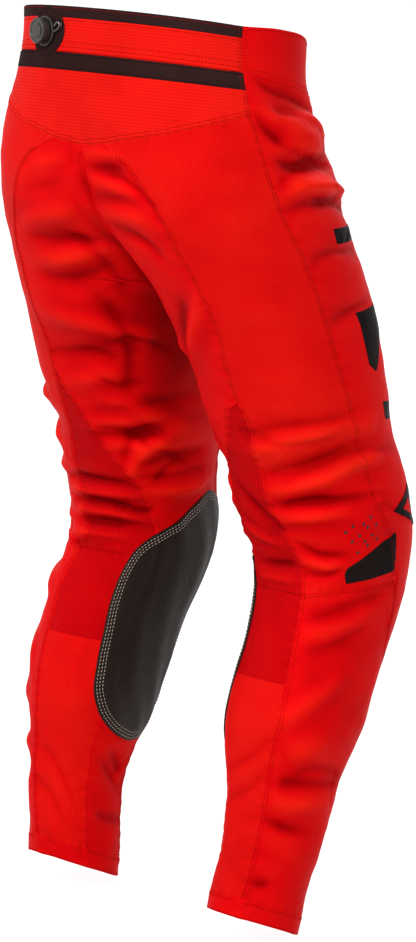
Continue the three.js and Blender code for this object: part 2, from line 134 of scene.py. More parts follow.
def middleAngle(drop):
    cx = bend(sectionDrop, centreX, drop)
    rx = bend(sectionDrop, halfWidth, drop)
    c = np.clip(cx / rx, 0, 1) ** (roundness / 2)
    return np.where(cx >= rx, 180.0, 180 - np.degrees(np.arccos(c)))


def place(side, drop, angle, offset=0.0):
    drop = np.asarray(drop, float)
    angle = np.asarray(angle, float)
    c = np.cos(np.radians(angle))
    n = np.sin(np.radians(angle))
    power = 2 / roundness
    rx = bend(sectionDrop, halfWidth, drop) + offset
    front = bend(sectionDrop, frontReach, drop)
    reach = np.where(n > 0, bend(sectionDrop, backReach, drop), front) + offset
    x = bend(sectionDrop, centreX, drop) + rx * np.sign(c) * np.abs(c) ** power
    dy = reach * np.sign(n) * np.abs(n) ** power
    dip = bend(sectionDrop, frontDip, drop) * np.maximum(0, 0.35 - dy / front) ** 2
    z = -drop + bend(sectionDrop, sectionSlope, drop) * dy - dip
    y = bend(sectionDrop, centreY[side], drop) + dy
    x, y, z = np.broadcast_arrays(np.maximum(x, 0), y, z)
    return np.stack([side * x, y, z], -1)


def outward(side, drop, angle):
    m = middleAngle(drop)
    inside = np.where(m < 179.9, np.clip(angle, -m + 2.2, m - 2.2), angle)
    a = place(side, drop, inside + 1) - place(side, drop, inside - 1)
    b = place(side, np.asarray(drop) + 2.0, inside) - place(side, np.asarray(drop) - 2.0, inside)
    n = np.cross(b, a) * side
    return n / np.linalg.norm(n, axis=-1, keepdims=True)


def mmPerDegree(drop):
    reach = (bend(sectionDrop, frontReach, drop) + bend(sectionDrop, backReach, drop)) / 2
    return math.radians(1) * (bend(sectionDrop, halfWidth, drop) + reach) / 2


# Folds: side, height, width, then points as (drop, angle). A negative height is a valley.
folds = [
    (-1, -5, 8, ((96, 11), (96, 0), (96, -19))),
    (-1, 5, 12, ((112, 5), (112, -6), (112, -22))),
    (-1, 4, 10, ((132, 13), (128, -1), (132, -27))),
    (-1, -5, 8, ((144, 14), (148, 1), (144, -35))),
    (-1, 4, 12, ((160, 11), (164, -3), (164, -28))),
    (-1, -3, 8, ((188, -1), (184, -12), (172, -36))),
    (-1, 3, 8, ((156, 102), (152, 92), (152, 84))),
    (-1, -3, 7, ((168, 105), (164, 92), (164, 84))),
    (-1, 3, 9, ((180, 108), (180, 94), (188, 82))),
    (-1, -3, 8, ((196, 113), (192, 95), (196, 82))),
    (-1, 3, 10, ((212, 119), (208, 94), (212, 83))),
    (1, 2, 9, ((172, 80), (164, 89), (160, 96))),
    (1, -2, 8, ((196, 79), (188, 90), (180, 100))),
    (1, 4, 13, ((232, 76), (216, 94), (212, 108))),
    (1, -5, 10, ((241, 79), (245, 99), (245, 114), (241, 127))),
    (1, 5, 13, ((269, 83), (261, 105), (253, 129))),
    (1, -5, 12, ((285, 84), (285, 108), (273, 129))),
    (1, 6, 15, ((325, 78), (333, 114), (349, 146), (353, 158))),
    (1, -6, 13, ((377, 76), (369, 110), (377, 134))),
    (1, -6, 14, ((297, 120), (341, 136), (377, 138), (417, 134))),
    (1, 4, 13, ((413, 82), (397, 116), (405, 132))),
    (1, -3, 9, ((445, 90), (437, 126), (429, 156), (425, 180))),
    (1, 3, 9, ((461, 96), (453, 132), (445, 176))),
    (1, -4, 8, ((473, 96), (473, 130), (473, 162))),
    (1, 4, 9, ((485, 114), (485, 144), (481, 182))),
    (1, -4, 7, ((505, 128), (501, 156), (493, 188))),
    (1, -4, 7, ((525, 134), (525, 158), (517, 190))),
    (1, 4, 8, ((541, 142), (541, 172), (533, 194))),
    (1, -6, 6, ((537, 62), (533, 96), (537, 134))),
    (1, 5, 7, ((553, 66), (549, 98), (549, 136))),
    (1, -7, 6, ((565, 70), (561, 102), (569, 132), (565, 146))),
    (1, 6, 7, ((577, 72), (573, 106), (577, 142))),
    (1, -6, 5, ((589, 72), (585, 106), (585, 142))),
    (1, 4, 6, ((605, 64), (601, 96), (601, 124))),
    (1, -4, 5, ((617, 62), (613, 88))),
    (-1, -4, 9, ((433, 92), (417, 58), (413, 24), (409, 6))),
    (-1, 4, 10, ((453, 92), (433, 58), (417, 14))),
    (-1, -5, 8, ((477, 88), (465, 62), (453, 34), (437, 6))),
    (-1, 6, 11, ((497, 88), (481, 50), (461, 12), (457, -16))),
    (-1, -8, 7, ((513, 86), (505, 62), (501, 40), (497, 0))),
    (-1, 4, 9, ((529, 86), (521, 58), (513, 26))),
    (-1, -6, 8, ((493, 116), (517, 100), (545, 82))),
    (-1, 4, 7, ((541, 124), (553, 104), (565, 86))),
    (-1, -6, 6, ((593, 118), (589, 92), (585, 76))),
    (-1, 3, 6, ((609, 124), (605, 94), (605, 76))),
    (-1, -4, 6, ((557, 76), (569, 56), (565, 32))),
    (-1, 3, 7, ((577, 76), (581, 52), (577, 36))),
    (-1, -4, 5, ((593, 74), (593, 52), (581, 38))),
    (-1, -4, 13, ((645, 64), (629, 34), (609, -6))),
    (-1, 4, 16, ((665, 62), (649, 30), (633, -2))),
    (-1, -4, 16, ((677, 58), (661, 26), (641, 4))),
    (-1, 4, 18, ((786, 48), (774, 32), (766, 8))),
    (-1, -6, 10, ((814, 54), (810, 28), (802, -30))),
    (-1, 4, 12, ((834, 60), (830, 22), (818, -14))),
    (-1, -6, 9, ((854, 64), (858, 36), (858, -2))),
    (-1, -4, 7, ((922, 66), (922, 50), (918, 36))),
    (-1, -3, 8, ((818, 126), (798, 90), (766, 60))),
    (-1, -3, 8, ((846, 122), (830, 90), (802, 64))),
    (1, -5, 9, ((822, 172), (842, 192), (850, 204))),
    (1, -4, 9, ((834, 160), (854, 184), (870, 204))),
    (1, -2.5, 8, ((874, 76), (894, 100), (922, 118))),
    (1, -2.5, 8, ((838, 88), (866, 114), (906, 142))),
    (1, -3, 8, ((898, 164), (902, 184), (898, 220))),
    # broad drags of the seat, thighs and front hip
    (1, -5, 9, ((443, 168), (466, 140), (487, 128), (507, 122))),
    (1, 5, 10, ((455, 178), (482, 152), (503, 134), (527, 128))),
    (1, -5, 9, ((497, 186), (512, 160), (534, 146))),
    (1, -4, 8, ((395, 112), (409, 128), (405, 150))),
    (1, -5, 11, ((200, 104), (236, 125), (265, 146), (293, 162))),
    (1, -4.5, 10, ((232, 92), (245, 111), (273, 129), (305, 142))),
    (1, -5, 10, ((361, 120), (353, 138), (357, 154), (371, 168))),
    (1, -4.5, 10, ((461, 102), (467, 128), (493, 156), (521, 186))),
    (1, 4.5, 13, ((425, 116), (437, 140), (461, 166), (485, 190))),
    (-1, 4.5, 15, ((465, 86), (435, 46), (425, 14), (417, -14))),
    (-1, -5, 10, ((489, 76), (463, 42), (451, 6), (459, -42))),
    (-1, -4, 9, ((425, 92), (437, 66), (433, 34), (421, 4))),
    (-1, -5, 8, ((66, 16), (74, 6), (78, -12), (96, -50))),
    (-1, -6, 9, ((102, 19), (118, 12), (133, -2), (146, -52))),
    (-1, 5, 9, ((96, 17), (101, 3), (94, -20), (112, -48))),
    (-1, -6, 9, ((170, 14), (150, 1), (133, -20), (122, -50))),
    (-1, 5, 9, ((182, 12), (168, -3), (174, -42), (182, -60))),
    (-1, -5, 8, ((196, 13), (185, -2), (189, -28), (210, -52))),
    (-1, -4, 8, ((251, 9), (238, -8), (247, -46))),
    (-1, -4, 8, ((315, 8), (302, -8), (297, -40))),
    (-1, -5, 9, ((286, 92), (321, 110), (357, 130))),
    (-1, 4, 9, ((273, 78), (309, 92), (347, 113))),
    (-1, -4, 10, ((806, 36), (790, 10), (798, -42))),
    (-1, 4, 14, ((756, 60), (726, 38), (689, 12))),
    (1, -3.5, 8, ((168, 100), (188, 111), (210, 119))),
    (-1, -4, 9, ((166, 100), (174, 88), (192, 79), (218, 77))),
    (-1, -4, 9, ((222, 112), (230, 94), (249, 88))),
]
# Broad fullness and slack of the cloth: leg, height, place, spread down and round the leg
swells = [
    (1, -7, 470, 41, 24, 32), (1, -4, 545, 41, 40, 32), (1, 6, 645, 41, 28, 32),
    (1, -7, 545, 221, 42, 32), (-1, 6, 542, 139, 36, 32), (-1, -6, 664, 139, 52, 32),
    (-1, 5, 150, -41, 85, 36), (-1, 4, 497, -41, 38, 32), (-1, -3, 803, -41, 34, 32),
    (-1, -3, 921, -41, 34, 32),
]
foldStrength = 1.25
reliefDrops = np.linspace(0, hem["drop"], 602)
reliefAngles = np.linspace(-180, 180, 433)


def foldRelief(total, share, points, height, width):
    # adds one fold to the grid, along a smooth line through its points
    p = np.array(points, float)
    steps = np.linspace(0, len(p) - 1, 28)
    pathDrop = bend(np.arange(len(p)), p[:, 0], steps)
    pathAngle = bend(np.arange(len(p)), p[:, 1], steps)
    reach = 3.2 * width
    rows = np.flatnonzero((reliefDrops > pathDrop.min() - reach) & (reliefDrops < pathDrop.max() + reach))
    for turn in (-360, 0, 360):
        spread = reach / 0.8
        low, high = pathAngle.min() + turn - spread, pathAngle.max() + turn + spread
        columns = np.flatnonzero((reliefAngles > low) & (reliefAngles < high))
        if len(columns) == 0 or len(rows) == 0:
            continue
        drops, angles = np.meshgrid(reliefDrops[rows], reliefAngles[columns], indexing="ij")
        rate = mmPerDegree(drops)
        near = np.full(drops.shape, 1e9)
        along = np.zeros(drops.shape)
        for k in range(len(steps)):
            across = (angles - pathAngle[k] - turn) * rate
            d = across**2 + (drops - pathDrop[k]) ** 2
            along = np.where(d < near, k / (len(steps) - 1), along)
            near = np.minimum(d, near)
        taper = np.sin(np.pi * (along * 0.94 + 0.03)) ** 0.8
        if height < 0:    # valleys are creased, ridges are round
            fade = 1 - smoothRise(np.sqrt(near), 1.9 * width, 3.1 * width)
            profile = np.exp(-(np.sqrt(near + 4) - 2) / (0.75 * width)) * fade
        else:
            profile = np.exp(-near / (0.82 * width) ** 2)
        window = np.ix_(rows, columns)
        total[window] += height * taper * profile * share[window]


def waves(points, seed, low, high, count):
    random = np.random.default_rng(seed)
    total = np.zeros(points.shape[:-1])
    for k in range(count):
        direction = random.normal(size=3)
        direction /= np.linalg.norm(direction)
        total += np.sin(points @ direction * (2 * np.pi / random.uniform(low,
                                                                         high)) + random.uniform(0, 6.28))
    return total / math.sqrt(count)


def creases(points, seed, low, high, count):
    # short sharp wrinkles that run mostly across the leg
    random = np.random.default_rng(seed)
    warp = np.stack([waves(points, seed + k, 50, 110, 6) for k in (1, 2, 3)], -1) * 9
    total = np.zeros(points.shape[:-1])
    for k in range(count):
        direction = random.normal(size=3) * (0.35, 0.35, 1)
        direction /= np.linalg.norm(direction)
        phase = (points + warp) @ direction * (np.pi / random.uniform(low, high)) + random.uniform(0, 6.28)
        total += (1 - np.abs(np.sin(phase))) ** 1.6 - 0.38
    return total / math.sqrt(count)


def spot(drops, angles, drop, angle, tall, wide):
    turn = (angles - angle + 180) % 360 - 180
    return np.exp(-((drops - drop) / tall) ** 2 - (turn / wide) ** 2)


def patchCover(drops, angles):
    turned = np.where(angles < 0, angles + 360, angles)
    rate = mmPerDegree(drops)
    back = (turned - follow(patchBack, drops)) * rate
    front = (follow(patchFront, drops) - turned) * rate
    inside = np.minimum(np.minimum(back, front), np.minimum(drops - 545, 815 - drops))
    return smoothRise(inside, -14, 2)


def buildRelief(side):
    drops, angles = np.meshgrid(reliefDrops, reliefAngles, indexing="ij")
    total = np.zeros(drops.shape)
    outerFace = 1 - smoothRise(np.abs(angles), 48, 66)
    innerFace = np.clip(smoothRise(angles, 122, 138) + smoothRise(-angles, 40, 56), 0, 1)
    everywhere = np.ones(drops.shape)
    for owner, height, width, points in folds:
        if owner == side:
            foldRelief(total, everywhere, points, height * foldStrength, width)
        else:
            shifted = [(d + 7, a + 4) for d, a in points]
            foldRelief(total, 0.85 * (outerFace if side > 0 else innerFace), shifted, height * foldStrength,
                       width)
    p = place(side, drops, angles)
    crumple = (0.16 + 0.9 * spot(drops, angles, 565, 110, 50, 50) + 0.6 * spot(drops, angles, 450, 160,
                                                                               70, 70)
               + 0.25 * spot(drops, angles, 520, 0, 70, 60) + 0.4 * spot(drops, angles, 260, 150, 60, 60)
               + 1.3 * spot(drops, angles, 150, -30, 90, 45) + 0.55 * spot(drops, angles, 860, 180, 60, 200)
               + 0.5 * spot(drops, angles, 640, 20, 60, 60))
    total += 0.9 * waves(p, 5 + side, 60, 140, 9) + 0.25 * waves(p, 9 + side, 24, 50, 12)
    total += 1.0 * crumple * creases(p, 21 + side, 14, 40, 7)
    rate = mmPerDegree(drops)
    turned = np.where(angles < 90, angles + 360, angles)
    seams = [
        (angles - follow(sideSeam, drops), drops < 600),
        (angles - follow(rearSeams[side], drops), drops > 140),
        (angles - follow(stretchSeams[side], drops), drops > 395),
        (turned - follow(inseam, drops), drops > 280),
    ]
    for gap, inside in seams:
        pucker = np.sin(drops * 0.50 + 2.4 * np.sin(drops * 0.043))
        total += np.where(inside, 0.42 * pucker * np.exp(-(gap * rate / 7) ** 2), 0)
    edges = [
        (drops - follow(yokeEdge, angles), angles > 20),
        (drops - follow(kneeTop, angles), angles < 3),
        (drops - follow(shinTop, angles), angles < 80),
        (drops - 620, (angles > 72) & (angles < 160)),
        (drops - (hem["drop"] - hem["height"]), angles > -999),
    ]
    for gap, inside in edges:
        pucker = np.sin(angles * rate * 0.5 + 2 * np.sin(angles * 0.09))
        total += np.where(inside, 0.36 * pucker * np.exp(-(gap / 7) ** 2), 0)
    total *= 1 - 0.85 * (1 - smoothRise(drops, 55, np.where(angles < 20, 70, 95)))
    total *= 1 - 0.8 * patchCover(drops, angles)
    total *= 1 - 0.96 * smoothRise(-angles, 66, 80) * (1 - smoothRise(drops, 172,
                                                                      205))    # flat beside the zip
    for owner, height, drop, angle, tall, wide in swells:
        if owner == side:
            total += height * spot(drops, angles, drop, angle, tall, wide)
    return total


relief = {side: buildRelief(side) for side in (1, -1)}


def blurred(grid, rows, columns):
    for _ in range(2):
        padded = np.pad(grid, ((rows, rows), (0, 0)), mode="edge")
        grid = np.mean([padded[k:k + grid.shape[0]] for k in range(2 * rows + 1)], axis=0)
        grid = np.mean([np.roll(grid, k, axis=1) for k in range(-columns, columns + 1)], axis=0)
    return grid


ridge = {side: relief[side] - blurred(relief[side], 8, 8) for side in (1, -1)}
print("folds shaped")


def sample(grid, drop, angle):
    turned = (np.asarray(angle) + 180) % 360 - 180
    drop, turned = np.broadcast_arrays(np.asarray(drop, float), turned)
    i = np.clip(drop / (reliefDrops[1] - reliefDrops[0]), 0, len(reliefDrops) - 1.001)
    j = np.clip((turned + 180) / (reliefAngles[1] - reliefAngles[0]), 0, len(reliefAngles) - 1.001)
    a, b = i.astype(int), j.astype(int)
    s, t = i - a, j - b
    return ((1 - s) * (1 - t) * grid[a, b] + s * (1 - t) * grid[a + 1, b]
            + (1 - s) * t * grid[a, b + 1] + s * t * grid[a + 1, b + 1])


def reliefAt(side, drop, angle):
    # both legs share one height along the middle line
    m = middleAngle(drop)
    gap = (m - np.abs(angle)) * mmPerDegree(drop)
    shared = np.where(m < 179.9, 0.5 * np.exp(-(gap / 16) ** 2), 0)
    backGap = (180 - np.abs(angle)) * mmPerDegree(drop)
    upper = 0.5 * np.exp(-(backGap / 16) ** 2) * (1 - smoothRise(drop, 270, 300))
    shared = np.maximum(shared, upper)
    turned = (np.asarray(angle) + 180) % 360 - 180
    return (1 - shared) * sample(relief[side], drop, turned) + shared * sample(relief[-side], drop, turned)


def fell(side, drop, angle):
    # raised, folded-over cloth along one side of each seam
    rate = mmPerDegree(drop)
    turned = np.where(np.asarray(angle) < 90, np.asarray(angle) + 360, angle)
    distances = [
        np.where(drop < 640, (angle - follow(sideSeam, drop)) * rate, -9),
        np.where(drop > 140, (follow(rearSeams[side], drop) - angle) * rate, -9),
        np.where(drop > 390, (angle - follow(stretchSeams[side], drop)) * rate, -9),
        np.where(drop > 290, (follow(inseam, drop) - turned) * rate, -9),
        np.where(np.asarray(angle) > 20, follow(yokeEdge, angle) - drop, -9),
        np.where(np.asarray(angle) < 2, follow(kneeTop, angle) - drop, -9),
        np.where(np.asarray(angle) < 72, drop - follow(shinTop, angle), -9),
    ]
    total = 0
    for d in distances:
        total = np.maximum(total, np.where(d > -0.6, 1 - smoothRise(d, fabric["fellWidth"],
                                                                    fabric["fellWidth"] + 1.6), 0))
    return fabric["fellHeight"] * total * smoothRise(drop, 60, 64)


def cloth(side, drop, angle, lift=0.0):
    n = outward(side, drop, angle)
    rise = reliefAt(side, drop, angle) + fell(side, drop, angle) + lift
    p = place(side, drop, angle) + n * np.asarray(rise)[..., None]
    m = middleAngle(drop)
    x = np.maximum(p[..., 0] * side, 0)
    x = np.where((np.abs(angle) >= m - 1e-4) & (np.asarray(drop) < 286), 0, x)
    p[..., 0] = x * side
    return p


# Making meshes from rows of points
def makePiece(name, vertices, faces):
    mesh = bpy.data.meshes.new(name)
    faceList = faces.tolist() if isinstance(faces, np.ndarray) else faces
    mesh.from_pydata((np.asarray(vertices) / 1000).tolist(), [], faceList)
    mesh.update()
    mesh.polygons.foreach_set("use_smooth", [True] * len(mesh.polygons))
    piece = bpy.data.objects.new(name, mesh)
    bpy.context.scene.collection.objects.link(piece)
    return piece


def gridFaces(rows, columns):
    i, j = np.meshgrid(np.arange(rows - 1), np.arange(columns - 1), indexing="ij")
    a = i * columns + j
    return np.stack([a, a + columns, a + columns + 1, a + 1], -1).reshape(-1, 4)


def gridNormals(points):
    a = np.gradient(points, axis=1)
    b = np.gradient(points, axis=0)
    n = np.cross(b, a)
    size = np.linalg.norm(n, axis=-1, keepdims=True)
    return n / np.maximum(size, 1e-9)


def closeShell(name, top, under, flat, tint, flipped, topNormals=None):
    # closes a sheet of rows and columns into a thin solid with its own cloth coordinates
    rows, columns = top.shape[:2]
    count = rows * columns
    outer = gridFaces(rows, columns)
    inner = outer[:, ::-1] + count
    j = np.arange(columns - 1)
    i = np.arange(rows - 1) * columns
    b = (rows - 1) * columns + j
    e = i + columns - 1
    ring = np.concatenate([
        np.stack([j, j + 1, count + j + 1, count + j], -1),
        np.stack([b + 1, b, count + b, count + b + 1], -1),
        np.stack([i + columns, i, count + i, count + i + columns], -1),
        np.stack([e, e + columns, count + e + columns, count + e], -1),
    ])
    faces = np.concatenate([outer, inner, ring])
    if flipped:
        faces = faces[:, ::-1]
    piece = makePiece(name, np.concatenate([top.reshape(-1, 3), under.reshape(-1, 3)]), faces)
    mesh = piece.data
    index = np.empty(len(mesh.loops), int)
    mesh.loops.foreach_get("vertex_index", index)
    uv = np.concatenate([flat.reshape(-1, 2), flat.reshape(-1, 2)])
    mesh.uv_layers.new(name="cloth").data.foreach_set("uv", uv[index].ravel())
    # the ridge attribute carries the tint with its painted shade and highlight: fold valleys and crotch
    # darker, fold ridges lighter
    shade = mesh.attributes.new("ridge", "FLOAT", "POINT")
    shade.data.foreach_set("value", np.concatenate([tint.ravel(), tint.ravel()]))
    n = gridNormals(top) * (-1 if flipped else 1)
    if topNormals is not None:
        n = topNormals
    n = n.reshape(-1, 3)
    perVertex = np.concatenate([n, -n])
    loopNormals = perVertex[index]
    rim = len(ring) * 4
    faceNormals = np.empty(len(mesh.polygons) * 3)
    mesh.polygons.foreach_get("normal", faceNormals)
    loopNormals[-rim:] = np.repeat(faceNormals.reshape(-1, 3)[-len(ring):], 4, axis=0)
    mesh.normals_split_custom_set(loopNormals.tolist())
    return piece


def softSteps(count, rollStart=True, rollEnd=True):
    # even steps, closer beside an edge that rolls under
    inner = np.linspace(0, 1, max(count, 6))
    step = inner[1]
    head = [0, 0.16 * step, 0.42 * step] if rollStart else [0]
    tail = [1 - 0.42 * step, 1 - 0.16 * step, 1] if rollEnd else [1]
    return np.concatenate([head, inner[1:-1], tail])


def panelGrid(first, last, top, bottom, rolls, columns=None):
    gap = -fabric["overlap"]
    centre = 90.0
    for _ in range(6):
        middleDrop = 0.5 * (float(top(centre)) + float(bottom(centre)))
        centre = 0.5 * (float(first(middleDrop)) + float(last(middleDrop)))
    a0, a1 = float(first(middleDrop)), float(last(middleDrop))
    size = fabric["grid"]
    columns = columns or int(abs(a1 - a0) * float(mmPerDegree(middleDrop)) / size) + 1
    rows = int((float(bottom(centre)) - float(top(centre))) / size) + 1
    s = softSteps(columns, "first" in rolls, "last" in rolls)
    t = softSteps(rows, "top" in rolls, "bottom" in rolls)
    drops = middleDrop + np.zeros((len(t), len(s)))
    for _ in range(60):
        rate = mmPerDegree(drops)
        left = first(drops) + ("first" in rolls) * gap / rate
        right = last(drops) - ("last" in rolls) * gap / rate
        angles = left + (right - left) * s[None, :]
        above = top(angles) + ("top" in rolls) * gap
        below = bottom(angles) - ("bottom" in rolls) * gap
        drops = 0.4 * drops + 0.6 * (above + (below - above) * t[:, None])
    return drops, angles


def rolledRise(drops, lift, rolls, edge):
    rise = np.zeros(drops.shape) + lift
    for k, share in enumerate((1.0, 0.42, 0.1)):
        low = lift - edge * share
        if "top" in rolls:
            rise[k, :] = np.minimum(rise[k, :], low)
        if "bottom" in rolls:
            rise[-1 - k, :] = np.minimum(rise[-1 - k, :], low)
        if "first" in rolls:
            rise[:, k] = np.minimum(rise[:, k], low)
        if "last" in rolls:
            rise[:, -1 - k] = np.minimum(rise[:, -1 - k], low)
    return rise


allRolls = ("first", "last", "top", "bottom")


def clothSheet(side, drops, angles, rise, thickness):
    top = cloth(side, drops, angles, rise)
    n = outward(side, drops, angles)
    under = top - n * thickness
    x = np.maximum(under[..., 0] * side, 0)
    under[..., 0] = np.where(np.abs(top[..., 0]) < 1e-6, 0, x) * side
    flat = np.stack([angles * mmPerDegree(drops), -drops], -1) / 1000
    # painted shade and highlight: the tint lightens fold ridges and darkens fold valleys, and the spot at
    # the crotch paints the shadow between the legs darker
    paintedCrotchShadow = spot(drops, np.where(angles < 0, angles + 360, angles), 335, 172, 95, 42)
    tint = 0.5 + 0.09 * sample(ridge[side], drops, angles) - 0.34 * paintedCrotchShadow
    return top, under, flat, np.clip(tint, 0, 1)


def sewPanel(name, side, first, last, top, bottom, rolls=allRolls, lift=0.0, edge=0.75, columns=None,
             thickness=None):
    drops, angles = panelGrid(first, last, top, bottom, rolls, columns)
    rise = rolledRise(drops, lift, rolls, edge)
    parts = clothSheet(side, drops, angles, rise, thickness or fabric["thickness"])
    normals = gridNormals(parts[0]) * side
    for row, where in ((0, "top"), (-1, "bottom")):    # one shading across a border without a seam
        if where not in rolls:
            step = 1.5
            a = cloth(side, drops[row], angles[row] + 0.8) - cloth(side, drops[row], angles[row] - 0.8)
            b = cloth(side, drops[row] + step, angles[row]) - cloth(side, drops[row] - step, angles[row])
            n = np.cross(b, a) * side
            n /= np.linalg.norm(n, axis=-1, keepdims=True)
            if "first" in rolls:
                n[:3] = normals[row, :3]
                n[-3:] = normals[row, -3:]
            normals[row] = n
    return closeShell(name, *parts, side < 0, normals)


def sewBand(name, first, top, bottom, rolls=("first", "top", "bottom"), lift=0.0, edge=0.75,
            thickness=None):
    # a band right across the back, from the right side seam to the left one
    halves = []
    for side in (-1, 1):
        drops, angles = panelGrid(first, middleAngle, top, bottom, rolls)
        rise = rolledRise(drops, lift, rolls, edge)
        halves.append(list(clothSheet(side, drops, angles, rise, thickness or fabric["thickness"])))
    right, left = halves
    left[2][..., 0] *= -1
    shift = right[2][:, -1:, 0] - left[2][:, -1:, 0]
    left[2][..., 0] += shift
    parts = [np.concatenate([a, b[:, -2::-1]], axis=1) for a, b in zip(right, left)]
    return closeShell(name, *parts, True)


def level(value):
    return lambda angles: np.zeros(np.shape(angles)) + value


def belowTop(value):
    # the back of the waist is cut lower than the front
    return lambda angles: waistband["backDrop"] * smoothRise(np.asarray(angles, float), -34, 26) + value


def line(curve, turn=0.0):
    return lambda where: follow(curve, where) + turn


def seamLines(side):
    return line(rearSeams[side]), line(stretchSeams[side]), line(sideSeam), line(inseam)


# Thread: each stitch is a small rounded bead of yarn
def stitchRow(points, normals, length=2.5, gap=0.9):
    points = np.asarray(points)
    steps = np.linalg.norm(np.diff(points, axis=0), axis=1)
    run = np.concatenate([[0], np.cumsum(steps)])
    starts = np.arange(0.5, run[-1] - length, length + gap)

    def at(values, where):
        return np.stack([np.interp(where, run, values[:, k]) for k in range(3)], -1)

    return at(points, starts), at(points, starts + length), at(np.asarray(normals), starts + length / 2)


def sewThread(name, rows, radius=0.34):
    starts = np.concatenate([r[0] for r in rows])
    ends = np.concatenate([r[1] for r in rows])
    up = np.concatenate([r[2] for r in rows])
    up /= np.linalg.norm(up, axis=1, keepdims=True)
    way = ends - starts
    across = np.cross(way, up)
    across /= np.linalg.norm(across, axis=1, keepdims=True)
    stations = ((0.0, 0.35, -0.30), (0.16, 0.9, 0.02), (0.5, 1.0, 0.10), (0.84, 0.9, 0.02),
                (1.0, 0.35, -0.30))
    sides = 5
    rings = []
    for t, swell, arch in stations:
        for k in range(sides):
            turn = 2 * math.pi * (k + 0.5) / sides
            rings.append(starts + way * t + across * (math.cos(turn) * radius * swell)
                         + up * (math.sin(turn) * radius * 0.8 * swell + arch))
    vertices = np.stack(rings, 1)
    count = len(stations) * sides
    faces = []
    for r in range(len(stations) - 1):
        for k in range(sides):
            a, b = r * sides + k, r * sides + (k + 1) % sides
            faces.append((a, b, b + sides, a + sides))
    ends = [tuple(range(sides))[::-1], tuple(range(count - sides, count))]
    base = np.arange(len(starts)) * count
    quads = (np.array(faces)[None] + base[:, None, None]).reshape(-1, 4).tolist()
    caps = (np.array(ends)[None] + base[:, None, None]).reshape(-1, sides).tolist()
    return makePiece(name, vertices.reshape(-1, 3), quads + caps)


def rowOnCloth(side, drops, angles, lift=0.0):
    drops = np.asarray(drops, float)
    angles = np.asarray(angles, float)
    return stitchRow(cloth(side, drops, angles, lift + 0.12), outward(side, drops, angles))


def seamRows(side, curve, start, stop, offsets):
    drops = np.linspace(start, stop, max(6, int((stop - start) / 3)))
    return [rowOnCloth(side, drops, curve(drops) + d / mmPerDegree(drops)) for d in offsets]


def crossRows(side, edge, start, stop, offsets, lift=0.0):
    angles = np.linspace(start, stop, max(6, int(abs(stop - start))))
    return [rowOnCloth(side, edge(angles) + d, angles, lift) for d in offsets]


def zigzagRow(side, drop, start, stop, height=5.0, pitch=3.2):
    length = abs(stop - start) * float(mmPerDegree(drop))
    count = int(length / pitch) * 2
    angles = np.linspace(start, stop, count)
    drops = drop + height / 2 * np.where(np.arange(count) % 2 == 0, -1, 1)
    p = cloth(side, drops, angles, 0.15)
    n = outward(side, drops, angles)
    return p[:-1], p[1:], n[:-1]


# Materials
def linear(hexCode):
    values = [int(hexCode[k:k + 2], 16) / 255 for k in (1, 3, 5)]
    return tuple(v / 12.92 if v <= 0.04045 else ((v + 0.055) / 1.055) ** 2.4 for v in values) + (1.0,)


def addNode(tree, kind, links=None, **values):
    node = tree.nodes.new(kind)
    for key, value in values.items():
        if hasattr(node, key) and not key[0].isupper():
            setattr(node, key, value)
        else:
            node.inputs[int(key[2:]) if key.startswith("in") else key.replace("_",
                                                                              " ")].default_value = value
    for socket, source in (links or {}).items():
        tree.links.new(source, node.inputs[socket])
    return node


def startMaterial(name):
    material = bpy.data.materials.new(name)
    material.use_nodes = True
    return material, material.node_tree, material.node_tree.nodes["Principled BSDF"]


